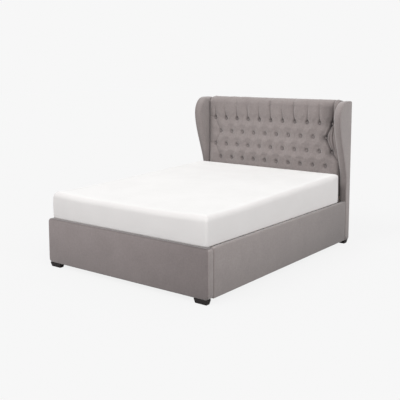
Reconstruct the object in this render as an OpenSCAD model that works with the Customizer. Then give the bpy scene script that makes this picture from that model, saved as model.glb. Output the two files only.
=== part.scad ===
/* [Mattress, which sets the length and width of the bed] */
// Width of the mattress
mattress_width = 1550; // [1350:5:1800]
// Length of the mattress
mattress_length = 1970; // [1850:5:2045]
// Thickness of the mattress at its foot end
mattress_thickness = 205; // [150:5:220]
// How much thicker the mattress is at its head end
mattress_rise = 58; // [0:2:60]
// How far the mattress lies over each side rail
mattress_over_rail = 15; // [0:1:16]
// How far the mattress lies over the footboard
mattress_over_foot = 35; // [0:1:40]
// Gap between the mattress and the headboard
mattress_gap_head = 85; // [6:1:90]

/* [Heights] */
// Height to the rolled top of the tufted pad
headboard_height = 1300; // [1200:10:1400]
// Height of the side rails and the footboard above the floor
rail_top = 392; // [370:2:420]
// Height of the feet, so of every panel's lower edge
foot_height = 35; // [25:1:60]

/* [Upholstered panels] */
// Thickness of a side rail with its padding
rail_thickness = 40; // [36:1:50]
// Thickness of the footboard with its padding
footboard_thickness = 55; // [48:1:65]
// Timber board inside a side rail
rail_board = 22; // [18:1:26]
// Timber board inside the footboard
footboard_board = 30; // [22:1:34]
// Timber board inside a wing
wing_board = 22; // [18:1:30]
// Thickness of a wing with its padding
wing_thickness = 72; // [60:1:84]
// Radius that the padding gives to the panels' edges
edge_radius = 11; // [6:1:14]
// Radius of the footboard's corners, seen from the front
footboard_corner = 30; // [20:1:40]

/* [Headboard] */
// Depth of a wing's straight lower part, from the back of the bed
wing_depth_low = 80; // [76:1:90]
// Depth of a wing where it reaches furthest forward
wing_depth_top = 232; // [200:2:260]
// Height where a wing starts to flare forward
wing_flare_start = 560; // [500:10:620]
// Height where a wing reaches furthest forward
wing_flare_end = 1135; // [1080:5:1160]
// How far the wings' top edge is below the top of the tufted pad
wing_drop = 13; // [8:1:30]
// Fabric-covered card on the back of the headboard
back_cover = 3; // [2:0.5:5]
// Depth of the timber posts and cross rails of the headboard
post_depth = 38; // [30:1:42]
// Thickness of the board that carries the tufted pad
head_board = 12; // [9:1:15]
// Thickness of the tufted pad at its sides and seams
pad_seam = 20; // [16:1:24]
// How far the pad's diamonds swell above its seams
pad_crown = 7; // [4:1:9]
// How deep the buttons pull the pad in from the swelled diamonds
tuft_depth = 18; // [12:1:20]
// Horizontal distance between the buttons of one row
tuft_pitch_x = 130; // [120:2:136]
// Vertical distance between two rows of buttons
tuft_pitch_z = 130.7; // [120:0.1:136]
// Height of the top row of buttons
tuft_top_row = 1086; // [1060:2:1100]
// Rows of buttons, staggered
tuft_rows = 4; // [3:1:4]
// Diameter of a covered button
button_d = 25; // [18:1:32]
// Height of the seam between the tufted pad and the plain panel below it
pad_bottom = 430; // [420:5:470]

/* [Lifting platform] */
// Height of the underside of the steel platform frame
platform_bottom = 345; // [344:1:352]
// Height of the frame's tubes
tube_height = 30; // [24:1:34]
// Width of the frame's tubes
tube_width = 25; // [20:1:30]
// Wall of the frame's tubes
tube_wall = 2; // [1.5:0.5:3]
// Slats on each side of the centre beam
slat_count = 14; // [10:1:16]
// Width of a sprung slat
slat_width = 53; // [40:1:60]
// Thickness of a sprung slat
slat_thickness = 8; // [6:1:10]
// How far a sprung slat bows up in its middle
slat_bow = 9; // [5:1:12]
// Floor of the plastic holders under the slats' ends
holder_floor = 2; // [1.5:0.5:4]

/* [Lift mechanism] */
// Main arm's fixed pivot, distance from the back of the bed
main_pivot_from_head = 790; // [770:1:810]
// Main arm's fixed pivot, height
main_pivot_height = 225; // [215:1:235]
// Main arm's pivot on the platform, distance from the back of the bed
main_top_from_head = 514; // [500:1:530]
// Main arm's pivot on the platform, height
main_top_height = 316; // [310:1:318]
// Control link's fixed pivot, distance from the back of the bed
link_pivot_from_head = 889; // [880:1:900]
// Control link's fixed pivot, height
link_pivot_height = 111; // [108:1:118]
// Control link's pivot on the platform, distance from the back of the bed
link_top_from_head = 540; // [535:1:548]
// Control link's pivot on the platform, height
link_top_height = 260; // [250:1:262]
// Gas strut's fixed pivot, distance from the back of the bed
strut_foot_from_head = 715; // [705:1:725]
// Gas strut's fixed pivot, height
strut_foot_height = 100; // [96:1:108]
// Gas strut's stud on the main arm, distance from the back of the bed
strut_stud_from_head = 650; // [640:1:660]
// Gas strut's stud on the main arm, height
strut_stud_height = 262; // [255:1:264]
// Thickness of the arms, links and brackets
link_plate = 5; // [4:0.5:5]
// Half the width of a control link, and the radius of its ends
link_radius = 16; // [13:0.5:16]
// Half the width of a main arm, and the radius of its ends
arm_radius = 19; // [18:0.5:20]
// Diameter of the pivot pins
pin_d = 12; // [8:1:14]
// Running clearance all round a pivot pin
pin_clearance = 0.05; // [0.02:0.01:0.1]
// Extra radius of the hole at the control link's open pivot
open_pivot_play = 1.6; // [1.2:0.1:2.4]
// Thickness of the base plate that is screwed to a side rail
base_plate = 3; // [2:0.5:4]
// Diameter of the gas strut's cylinder
strut_d = 18; // [14:1:18]
// Diameter of the gas strut's rod
rod_d = 8; // [6:1:10]
// Travel that the slot in the rod's end gives to its stud
slot_travel = 10; // [9.6:0.1:11]

/* [Storage box] */
// Side of the square battens that carry the storage floor
batten = 20; // [15:1:25]
// Thickness of the storage floor panels
floor_panel = 5; // [3:0.5:9]
// Width of the centre rail under the storage floor
centre_rail_width = 60; // [40:5:90]

/* [Feet] */
// Width of a foot at its top
foot_width = 112; // [90:1:130]
// Depth of a front foot at its top
foot_depth = 50; // [34:1:50]
// Depth of a rear foot at its top
foot_depth_rear = 64; // [50:1:100]
// How much a foot narrows on each side towards the floor
foot_taper = 8; // [2:1:12]
// How far a front foot sits in from the side of the bed
foot_inset = 14; // [8:1:30]
// How far a rear foot sits in from the side of the bed and from its back
foot_inset_rear = 7; // [4:1:30]

/* [Hidden] */
// Frame of the model: +Y points to the headboard, +X to the right seen from the foot end
pad_side = back_cover + post_depth + head_board + pad_seam;
pad_peak = pad_side + pad_crown;
mattress_back = pad_peak + mattress_gap_head;
mattress_front = mattress_back + mattress_length;
bed_length = mattress_front - mattress_over_foot + footboard_thickness;
bed_width = mattress_width - 2 * mattress_over_rail + 2 * rail_thickness;
head_y = bed_length / 2;
side_x = bed_width / 2;
rail_inner_x = side_x - rail_thickness;
wing_inner_x = side_x - wing_thickness;
pad_top = headboard_height;
wing_top = headboard_height - wing_drop;
// Where the layers of the headboard start, measured from the back of the bed
post_front = back_cover + post_depth;
board_front = post_front + head_board;
board_top = headboard_height - 38;
board_clearance = 0.5;
// Where the footboard starts, measured from the back of the bed
footboard_back = bed_length - footboard_thickness;
footboard_rise = 2;
footboard_top = rail_top + footboard_rise;
footboard_height = footboard_top - foot_height;
rail_height = rail_top - foot_height;
rail_length = footboard_back - wing_depth_low;
// Cover thickness that stays around a board in its pocket
cover_end = 24;
// Stack of the platform, from its tubes to the mattress
tube_top = platform_bottom + tube_height;
slat_seat = tube_top + holder_floor;
slat_crown = slat_seat + slat_thickness + slat_bow;
mattress_clearance = 1;
mattress_bottom = slat_crown + mattress_clearance;
platform_back = mattress_back + 12;
platform_front = footboard_back - 30;
platform_length = platform_front - platform_back;
platform_gap = 0.5;
// Layers of the lift mechanism, measured from the rail's inner face towards the middle
arm_outer_x = rail_inner_x - base_plate - 1;
bracket_outer_x = arm_outer_x - link_plate - 2;
bracket_pad = 2.5;
tube_outer_x = bracket_outer_x - link_plate - bracket_pad;
tube_inner_x = tube_outer_x - tube_width;
link_outer_x = tube_inner_x - link_plate - 2;
strut_x = arm_outer_x - link_plate - 3 - strut_d / 2;
// Pins and the heads that keep the plates on them
pin_hole_r = pin_d / 2 + pin_clearance;
pin_head_r = pin_d / 2 + 3;
pin_head_t = 1.5;
head_gap = 0.3;
stud_d = 8;
// The gas strut, along its own length
strut_run = [strut_stud_from_head - strut_foot_from_head, strut_stud_height - strut_foot_height];
strut_length = norm(strut_run);
strut_angle = atan2(strut_run[1], strut_run[0]);
eye_r = 9;
eye_t = 8;
cylinder_start = 7;
cylinder_end = strut_length - 26;
cylinder_wall = 1.2;
gland_length = 10;
rod_start = cylinder_start + 22;
piston_length = 10;
strut_gap = 0.3;
slot_wall = 4;
// Storage floor
floor_top = foot_height + batten + floor_panel;
floor_back = wing_depth_low + 1;
floor_clearance = 1;
plate_z0 = 84;
plate_z1 = main_pivot_height + pin_head_r + 12;
screw_d = 6;
// Fineness of true circles and of the modelled soft forms
$fn = 48;
roll_steps = 3;
corner_steps = 4;
curve_steps = 8;
fabric = [0.54, 0.51, 0.5];
timber = [0.8, 0.68, 0.5];
steel = [0.3, 0.3, 0.32];
bright_steel = [0.7, 0.7, 0.72];
black_plastic = [0.12, 0.11, 0.11];

// Children drawn as (distance from the back of the bed, height) and extruded from x_outer
// towards the middle of the bed, on the right side
module side_view(x_outer) {
    translate([x_outer, head_y, 0]) rotate([90, 0, -90]) children();
}

// Children drawn as (x, height) and extruded from the back of the bed towards its foot end
module head_view(distance) {
    translate([0, head_y - distance, 0]) rotate([90, 0, 0]) children();
}

// The right side's piece on the left side
module left_side() {
    mirror([1, 0, 0]) children();
}

// Solid through a list of rings with the same number of points, closed by a fan at each end
module skin(rings, first_centre, last_centre) {
    n = len(rings[0]);
    m = len(rings);
    sides = [for (i = [0 : m - 2], j = [0 : n - 1])
        let (a = i * n + j, b = i * n + (j + 1) % n) each [[a, b + n, b], [a, a + n, b + n]]];
    first_cap = [for (j = [0 : n - 1]) [j, (j + 1) % n, m * n]];
    last_cap = [for (j = [0 : n - 1]) [(m - 1) * n + (j + 1) % n, (m - 1) * n + j, m * n + 1]];
    polyhedron(concat([for (r = rings) each r], [first_centre, last_centre]),
        concat(sides, first_cap, last_cap));
}

// Corners of a rounded rectangle about the origin, as arcs of corner_steps
function rounded_outline(w, h, r) = [for (c = [0 : 3], i = [0 : corner_steps])
    let (a = 90 * c + 90 * i / corner_steps,
        sx = (c == 0 || c == 3) ? 1 : -1,
        sy = c < 2 ? 1 : -1)
    [sx * (w / 2 - r) + r * cos(a), sy * (h / 2 - r) + r * sin(a)]];

// Inset and height of each ring where padding rolls round an edge of radius r
function lower_roll(r) = [for (i = [0 : roll_steps])
    let (a = 90 * i / roll_steps) [r * (1 - sin(a)), r * (1 - cos(a))]];
function upper_roll(r, t) = [for (i = [0 : roll_steps])
    let (a = 90 * i / roll_steps) [r * (1 - cos(a)), t - r * (1 - sin(a))]];

// Padded slab on the plane h = 0, with its edges rolled over on both faces
module padded_slab(w, h, t, corner) {
    levels = concat(lower_roll(edge_radius), upper_roll(edge_radius, t));
    rings = [for (level = levels)
        let (outline = rounded_outline(w - 2 * level[0], h - 2 * level[0],
            max(corner - level[0], 0.5)))
        [for (p = outline) [p[0], p[1], level[1]]]];
    skin(rings, [0, 0, 0], [0, 0, t]);
}

// Two round ends joined by straight edges, in the plane
module bar_outline(from, to, r) {
    run = to - from;
    translate(from) rotate(atan2(run[1], run[0])) {
        circle(r);
        translate([norm(run), 0]) circle(r);
        translate([0, -r]) square([norm(run), 2 * r]);
    }
}

// Cubic curve through four control points, without its first point
function curve(p, steps) = [for (i = [1 : steps])
    let (t = i / steps, s = 1 - t)
    s * s * s * p[0] + 3 * s * s * t * p[1] + 3 * s * t * t * p[2] + t * t * t * p[3]];

// Outline of a wing seen from the side: straight lower part, flare, swept top
wing_back_radius = 22;
wing_top_start = 100;
function arc(centre, r, from, to) = [for (i = [0 : corner_steps])
    let (a = from + (to - from) * i / corner_steps) centre + r * [cos(a), sin(a)]];
flare_rise = wing_flare_end - wing_flare_start;
crest_rise = wing_top - wing_flare_end;
wing_outline = concat(
    arc([back_cover + wing_back_radius, foot_height + wing_back_radius], wing_back_radius, 180, 270),
    [[wing_depth_low, foot_height], [wing_depth_low, rail_top],
        [wing_depth_low, wing_flare_start]],
    curve([[wing_depth_low, wing_flare_start],
        [wing_depth_low, wing_flare_start + 0.245 * flare_rise],
        [wing_depth_top, wing_flare_end - 0.3 * flare_rise],
        [wing_depth_top, wing_flare_end]], curve_steps),
    curve([[wing_depth_top, wing_flare_end],
        [wing_depth_top, wing_flare_end + 0.62 * crest_rise],
        [wing_top_start + 70, wing_top], [wing_top_start, wing_top]], curve_steps),
    arc([back_cover + wing_back_radius, wing_top - wing_back_radius], wing_back_radius, 90, 180));
wing_middle = [wing_depth_low / 2, (wing_flare_start + wing_top) / 2];

// The outline moved inwards by d, each point along the mean of its two edges' normals
function inward(p, q) = let (v = (q - p) / norm(q - p)) [-v[1], v[0]];
function shrunk(path, d) = [for (i = [0 : len(path) - 1])
    let (n = len(path),
        a = inward(path[(i + n - 1) % n], path[i]),
        b = inward(path[i], path[(i + 1) % n]))
    path[i] + d * (a + b) / (1 + a * b)];

// Upholstered wing, with the pocket for its board open at the back and at the bottom
module wing_pad() {
    levels = concat(lower_roll(edge_radius), upper_roll(edge_radius, wing_thickness));
    rings = [for (level = levels)
        [for (p = shrunk(wing_outline, level[0])) [p[0], p[1], level[1]]]];
    color(fabric)
    difference() {
        side_view(side_x)
            skin(rings, [wing_middle[0], wing_middle[1], 0],
                [wing_middle[0], wing_middle[1], wing_thickness]);
        side_view(side_x - (wing_thickness - wing_board) / 2)
            translate([-1, foot_height - 1, 0]) linear_extrude(wing_board)
            polygon(concat([[0, 0], [wing_depth_low - 22, 0]],
                [for (p = board_profile) p + [1, 1 - foot_height]]));
    }
}

// Front and top edge of a wing's board, inside the padding
board_profile = [[wing_depth_low - 23, wing_flare_start],
    [wing_depth_top - 45, wing_flare_end - 60], [wing_depth_top - 45, wing_flare_end],
    [wing_top_start, wing_top - 35], [0, wing_top - 35]];

module wing_board() {
    color(timber)
    side_view(side_x - (wing_thickness - wing_board) / 2)
        linear_extrude(wing_board)
        polygon(concat([[back_cover, foot_height + wing_back_radius],
            [back_cover + wing_back_radius, foot_height], [wing_depth_low - 23, foot_height]],
            [for (p = board_profile) [max(p[0], back_cover), p[1]]]));
}

// Timber frame behind the tufted pad: three posts with cross rails between them
post_width = 60;
post_top = board_top - 12;
post_centre = wing_inner_x - post_width / 2 - 8;
cross_heights = [foot_height + 25, 585, post_top - post_width];

module headboard_posts() {
    color(timber)
    for (x = [-post_centre, 0, post_centre])
        head_view(back_cover) translate([x - post_width / 2, foot_height, 0])
            cube([post_width, post_top - foot_height, post_depth]);
}

module headboard_cross_rails() {
    bay = post_centre - post_width;
    color(timber)
    for (z = cross_heights, x = [-post_centre + post_width / 2, post_width / 2])
        head_view(back_cover) translate([x, z, 0]) cube([bay, post_width, post_depth]);
}

module headboard_board() {
    half = wing_inner_x - board_clearance;
    color(timber)
    head_view(post_front) translate([-half, foot_height, 0])
        cube([2 * half, board_top - foot_height, head_board]);
}

module headboard_back_cover() {
    inset = wing_back_radius;
    color(fabric)
    head_view(0) translate([-side_x + inset, foot_height + inset, 0])
        cube([bed_width - 2 * inset, wing_top - foot_height - 2 * inset, back_cover]);
}

// Plain padded panel behind the storage box and the mattress
module headboard_lower_panel() {
    h = pad_bottom - foot_height - board_clearance;
    color(fabric)
    head_view(board_front) translate([0, foot_height + h / 2, 0])
        padded_slab(2 * (wing_inner_x - board_clearance), h, pad_seam, edge_radius);
}

// Depth that the tufts pull into the pad at x and z: 1 at a button, 0 on a diamond
row_phase = 180 / tuft_pitch_z;
column_phase = 360 / tuft_pitch_x;
tuft_bottom_row = tuft_top_row - (tuft_rows - 1) * tuft_pitch_z;
function pleat(x, sign) = pow((1 + sign * cos(column_phase * x)) / 2, 3);
function lattice(x, z) =
    pow((1 + cos(column_phase * x) * cos(row_phase * (z - tuft_top_row))) / 2, 2);
last_row_sign = tuft_rows % 2 == 1 ? 1 : -1;
function tuft(x, z) =
    z > tuft_top_row + 1 ? pleat(x, 1) * max(0.25, 1 - (z - tuft_top_row) / tuft_pitch_z)
    : z < tuft_bottom_row - 1
        ? pleat(x, last_row_sign) * max(0, 1 - 2 * (tuft_bottom_row - z) / tuft_pitch_z)
    : lattice(x, z);
// How much of the crown is left near the pad's sides and in its plain lower band
function side_fade(x) = min(1, (wing_inner_x - abs(x)) / 45);
function swell(x, z) = z < tuft_bottom_row - tuft_pitch_z / 2 ? 0.35 : side_fade(x);
function pad_face(x, z) = pad_side + pad_crown * swell(x, z)
    - tuft_depth * tuft(x, z) * min(1, side_fade(x) + 0.3);

// Heights of the pad's grid: plain band, four steps to a row, then the roll over the top
roll_radius = 62;
roll_start = pad_top - roll_radius;
pad_levels = concat([pad_bottom, (pad_bottom + tuft_bottom_row) / 2 + 20],
    [for (k = [-1 : 4 * tuft_rows - 3]) tuft_bottom_row + k * tuft_pitch_z / 4],
    [tuft_top_row + 80]);
roll_angles = [0, 30, 60, 90];
grid_step = tuft_pitch_x / 4;
grid_half = floor((wing_inner_x - 10) / grid_step);
pad_columns = concat([-wing_inner_x + board_clearance],
    [for (k = [-grid_half : grid_half]) k * grid_step], [wing_inner_x - board_clearance]);

// One section of the pad at x, as (distance from the back, height): front face from its
// foot up, the roll, then the back
function pad_section(x) =
    let (drop = side_fade(x) < 1 ? 6 * (1 - side_fade(x)) : 0,
        top_face = pad_face(x, roll_start))
    concat([for (z = pad_levels) [pad_face(x, z), z]],
        [for (a = roll_angles) [top_face - roll_radius * (1 - cos(a)) * 0.8,
            roll_start + (roll_radius - drop) * sin(a)]],
        [[back_cover + 0.5, pad_top - 10], [back_cover + 0.5, pad_bottom]]);

module tufted_pad() {
    middle = (pad_bottom + pad_top) / 2;
    // Columns run from the right side to the left, as the side view extrudes
    rings = [for (i = [len(pad_columns) - 1 : -1 : 0]) let (x = pad_columns[i])
        [for (p = pad_section(x)) [p[0], p[1], wing_inner_x - x]]];
    color(fabric)
    difference() {
        side_view(wing_inner_x)
            skin(rings, [board_front + 6, middle, board_clearance],
                [board_front + 6, middle, 2 * wing_inner_x - board_clearance]);
        head_view(-1) translate([-side_x, 0, 0]) cube([bed_width, board_top, board_front + 1]);
    }
}

// Covered buttons, each a shallow dome on a short shank that reaches the bottom of its pit
button_t = 5;
button_shank_r = 1.5;
button_columns = floor((wing_inner_x - 60) / tuft_pitch_x);
button_pit = pad_side + pad_crown - tuft_depth;
button_rise = 3.6 * tuft_depth * button_d / 2 / tuft_pitch_x;
module tuft_button() {
    color(fabric)
    rotate_extrude() union() {
        translate([0, 0.4]) square([button_shank_r, button_rise + 1]);
        translate([0, button_rise]) intersection() {
            translate([0, button_t - dome_radius]) circle(dome_radius, $fn = 96);
            square([button_d / 2, button_t]);
        }
    }
}
dome_radius = (button_d * button_d / 4 + button_t * button_t) / (2 * button_t);

module tuft_buttons() {
    for (row = [0 : tuft_rows - 1]) {
        odd = row % 2;
        first = -button_columns * tuft_pitch_x + odd * tuft_pitch_x / 2;
        for (k = [0 : 2 * button_columns - odd])
            head_view(button_pit)
                translate([first + k * tuft_pitch_x, tuft_top_row - row * tuft_pitch_z, 0])
                tuft_button();
    }
}

// Footboard, padded all round, with the pocket for its board open at the bottom
module footboard_pad() {
    color(fabric)
    difference() {
        head_view(footboard_back) translate([0, foot_height + footboard_height / 2, 0])
            padded_slab(bed_width, footboard_height, footboard_thickness, footboard_corner);
        footboard_core(1);
    }
}

// The footboard's board, or with below > 0 the pocket that it fills
module footboard_core(below) {
    half = side_x - cover_end - footboard_corner / 2;
    head_view(footboard_back + (footboard_thickness - footboard_board) / 2)
        translate([-half, foot_height - below, 0])
        cube([2 * half, footboard_height - cover_end + below, footboard_board]);
}

module footboard_board() {
    color(timber) footboard_core(0);
}

// Side rail, padded, with the pocket for its board open at the bottom
module rail_pad() {
    color(fabric)
    difference() {
        side_view(side_x)
            translate([wing_depth_low + rail_length / 2, foot_height + rail_height / 2, 0])
            padded_slab(rail_length, rail_height, rail_thickness, edge_radius + 1);
        rail_core(1);
    }
}

module rail_core(below) {
    side_view(side_x - (rail_thickness - rail_board) / 2)
        translate([wing_depth_low + cover_end, foot_height - below, 0])
        cube([rail_length - 2 * cover_end, rail_height - cover_end + below, rail_board]);
}

module rail_board() {
    color(timber) rail_core(0);
}

// Low black foot, a block that narrows towards the floor
module foot(depth) {
    levels = [[foot_taper, 0], [foot_taper - 2, 4], [0, foot_height - 6], [0, foot_height]];
    rings = [for (level = levels)
        [for (p = rounded_outline(foot_width - 2 * level[0], depth - 2 * level[0], 3))
            [p[0], p[1], level[1]]]];
    color(black_plastic) skin(rings, [0, 0, 0], [0, 0, foot_height]);
}
foot_x = side_x - foot_inset - foot_width / 2;
foot_front_y = -head_y + footboard_thickness / 2;
foot_rear_x = side_x - foot_inset_rear - foot_width / 2;
foot_rear_y = head_y - foot_inset_rear - foot_depth_rear / 2;
module foot_front() {
    translate([foot_x, foot_front_y, 0]) foot(foot_depth);
}
module foot_rear() {
    translate([foot_rear_x, foot_rear_y, 0]) foot(foot_depth_rear);
}

// Steel angles that bolt the rails to the footboard and to the wings' inner side
bracket_leg = 45;
bracket_foot = 30;
bracket_t = 4;
bracket_z0 = floor_top + 5;
bracket_height = 130;
corner_bolt_d = 8;
bolt_heights = [30, 100];
module corner_bracket() {
    difference() {
        union() {
            cube([bracket_t, bracket_leg, bracket_height]);
            cube([bracket_foot, bracket_t, bracket_height]);
        }
        for (z = bolt_heights) {
            translate([-1, bracket_leg - 15, z]) rotate([0, 90, 0])
                cylinder(h = bracket_t + 2, d = corner_bolt_d + 1);
            translate([bracket_foot - 11, -1, z + 12]) rotate([-90, 0, 0])
                cylinder(h = bracket_t + 2, d = corner_bolt_d + 1);
        }
    }
}
// Hexagon heads of the bolts through one bracket, on their washers
bolt_head = 5;
washer_t = 1.5;
module bolt_set() {
    for (z = bolt_heights) {
        translate([bracket_t, bracket_leg - 15, z]) rotate([0, 90, 0]) corner_bolt();
        translate([bracket_foot - 11, bracket_t, z + 12]) rotate([-90, 0, 0]) corner_bolt();
    }
}
module corner_bolt() {
    cylinder(h = washer_t, d = 2 * corner_bolt_d);
    translate([0, 0, washer_t - 0.2]) cylinder(h = bolt_head, r = corner_bolt_d * 0.8, $fn = 6);
    translate([0, 0, -bracket_t]) cylinder(h = bracket_t + 0.2, d = corner_bolt_d);
}
// The four inner corners of the storage box
module at_corners() {
    for (side = [0, 1]) mirror([side, 0, 0]) {
        translate([-rail_inner_x, head_y - footboard_back, bracket_z0]) children();
        translate([-rail_inner_x, head_y - wing_depth_low, bracket_z0]) mirror([0, 1, 0]) children();
    }
}
module corner_brackets() {
    color(steel) at_corners() corner_bracket();
}
module corner_bolts() {
    color(bright_steel) at_corners() bolt_set();
}

// Battens, centre rail and panels that make the floor of the storage box
floor_length = footboard_back - floor_back;
module floor_batten() {
    color(timber)
    side_view(rail_inner_x) translate([floor_back, foot_height, 0])
        cube([floor_length, batten, batten]);
}
// Battens across the two ends of the box, one on each side of the centre rail
module end_batten(start, outer) {
    inner = centre_rail_width / 2 + floor_clearance;
    for (side = [0, 1]) mirror([side, 0, 0])
        head_view(start) translate([inner, foot_height, 0]) cube([outer - inner, batten, batten]);
}
module floor_end_battens() {
    color(timber) {
        end_batten(pad_side, wing_inner_x - floor_clearance);
        end_batten(footboard_back - batten, rail_inner_x - batten - floor_clearance);
    }
}
module centre_rail() {
    color(timber)
    head_view(pad_side) translate([-centre_rail_width / 2, foot_height, 0])
        cube([centre_rail_width, batten, footboard_back - pad_side]);
}
// Turned glides that stand the centre rail on the floor
glide_d = 40;
module centre_glides() {
    color(black_plastic)
    for (share = [0.2, 0.5, 0.8])
        translate([0, head_y - floor_back - share * floor_length, 0]) union() {
            cylinder(h = 5, d = glide_d - 6);
            translate([0, 0, 5]) cylinder(h = foot_height - 5, d = glide_d);
        }
}
module storage_floor() {
    color(timber)
    head_view(floor_back + floor_clearance)
        translate([floor_clearance / 2, foot_height + batten, 0])
        cube([rail_inner_x - 1.5 * floor_clearance, floor_panel, floor_length - 2 * floor_clearance]);
}

// Blocks at the head and the foot end that the lowered platform comes down on
rest_width = 90;
rest_depth_foot = footboard_back - platform_front + tube_width - 4;
rest_depth_head = platform_back + tube_width - 4 - board_front - pad_seam;
rest_height = 60;
rest_x = 420;
module platform_rests() {
    top = platform_bottom - platform_gap;
    color(timber)
    for (side = [-1, 1]) {
        head_view(footboard_back - rest_depth_foot)
            translate([side * rest_x - rest_width / 2, top - rest_height, 0])
            cube([rest_width, rest_height, rest_depth_foot]);
        head_view(board_front + pad_seam)
            translate([side * rest_x - rest_width / 2, top - rest_height, 0])
            cube([rest_width, rest_height, rest_depth_head]);
    }
}

// The pivots, as (distance from the back of the bed, height)
main_pivot = [main_pivot_from_head, main_pivot_height];
main_top = [main_top_from_head, main_top_height];
link_pivot = [link_pivot_from_head, link_pivot_height];
link_top = [link_top_from_head, link_top_height];
strut_foot = [strut_foot_from_head, strut_foot_height];
strut_stud = [strut_stud_from_head, strut_stud_height];
plate_start = strut_foot_from_head - 25;
plate_end = link_pivot_from_head + 35;

// A round piece on a pivot, from x = outer to x = inner
module pivot_disc(at, outer, inner, r) {
    side_view(outer) translate(at) cylinder(h = outer - inner, r = r);
}

screw_places = [[plate_start + 14, plate_z0 + 40], [plate_start + 14, plate_z1 - 16],
    [plate_end - 14, plate_z0 + 60], [plate_end - 14, plate_z1 - 16],
    [main_pivot_from_head - 5, plate_z0 + 20]];
module base_plate() {
    color(steel)
    difference() {
        side_view(rail_inner_x) translate([plate_start, plate_z0, 0])
            cube([plate_end - plate_start, plate_z1 - plate_z0, base_plate]);
        for (p = screw_places)
            pivot_disc(p, rail_inner_x + 1, rail_inner_x - base_plate - 1, screw_d / 2);
    }
}
// Countersunk screws, flush with the base plate
module plate_screw_set() {
    for (p = screw_places)
        pivot_disc(p, rail_inner_x, rail_inner_x - base_plate, screw_d / 2 - 0.2);
}
module plate_screws() {
    color(bright_steel) {
        plate_screw_set();
        left_side() plate_screw_set();
    }
}

// Pins that stand on the base plate: main arm, control link and gas strut
plate_face_x = rail_inner_x - base_plate;
module fixed_pin_set() {
    arm_inner_x = arm_outer_x - link_plate;
    pivot_disc(main_pivot, plate_face_x, arm_outer_x + head_gap, pin_head_r);
    pivot_disc(main_pivot, plate_face_x, arm_inner_x - head_gap - pin_head_t, pin_d / 2);
    pivot_disc(main_pivot, arm_inner_x - head_gap, arm_inner_x - head_gap - pin_head_t, pin_head_r);
    link_inner_x = link_outer_x - link_plate;
    pivot_disc(link_pivot, plate_face_x, link_outer_x + head_gap, pin_head_r);
    pivot_disc(link_pivot, plate_face_x, link_inner_x - head_gap - pin_head_t, pin_d / 2);
    pivot_disc(link_pivot, link_inner_x - head_gap, link_inner_x - head_gap - pin_head_t,
        pin_head_r);
    pivot_disc(strut_foot, plate_face_x, strut_x + eye_t / 2 + head_gap, stud_d / 2 + 2);
    pivot_disc(strut_foot, plate_face_x, strut_x - eye_t / 2 - head_gap - pin_head_t, stud_d / 2);
    pivot_disc(strut_foot, strut_x - eye_t / 2 - head_gap,
        strut_x - eye_t / 2 - head_gap - pin_head_t, stud_d / 2 + 2);
}
module fixed_pins() {
    color(bright_steel) {
        fixed_pin_set();
        left_side() fixed_pin_set();
    }
}

// Main arm, from its fixed pivot to the platform; its pin and the strut's stud are riveted in
module main_arm() {
    color(steel)
    side_view(arm_outer_x) difference() {
        linear_extrude(link_plate) bar_outline(main_pivot, main_top, arm_radius);
        translate([main_pivot[0], main_pivot[1], -1]) cylinder(h = link_plate + 2, r = pin_hole_r);
        translate([main_top[0], main_top[1], -1]) cylinder(h = link_plate + 2, r = pin_d / 2);
        translate([strut_stud[0], strut_stud[1], -1]) cylinder(h = link_plate + 2, r = stud_d / 2);
    }
}
module arm_pins() {
    color(bright_steel) {
        arm_pin();
        left_side() arm_pin();
    }
}
module arm_pin() {
    inner = bracket_outer_x - link_plate - head_gap;
    pivot_disc(main_top, arm_outer_x, inner - pin_head_t, pin_d / 2);
    pivot_disc(main_top, inner, inner - pin_head_t, pin_head_r);
    stud_pin();
}
module stud_pin() {
    inner = strut_x - eye_t / 2 - head_gap;
    pivot_disc(strut_stud, arm_outer_x, inner - pin_head_t, stud_d / 2);
    pivot_disc(strut_stud, arm_outer_x - link_plate, strut_x + eye_t / 2 + head_gap, stud_d / 2 + 2);
    pivot_disc(strut_stud, inner, inner - pin_head_t, stud_d / 2 + 2);
}

// Control link; the pin at its upper end has play in the platform's bracket
module control_link() {
    color(steel)
    side_view(link_outer_x) difference() {
        linear_extrude(link_plate) bar_outline(link_pivot, link_top, link_radius);
        translate([link_pivot[0], link_pivot[1], -1]) cylinder(h = link_plate + 2, r = pin_hole_r);
        translate([link_top[0], link_top[1], -1]) cylinder(h = link_plate + 2, r = pin_d / 2);
    }
}
module link_pin() {
    outer = tube_inner_x + head_gap + pin_head_t;
    pivot_disc(link_top, outer, link_outer_x - link_plate, pin_d / 2);
    pivot_disc(link_top, outer, outer - pin_head_t, pin_head_r + open_pivot_play);
}
module link_pins() {
    color(bright_steel) {
        link_pin();
        left_side() link_pin();
    }
}

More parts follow.
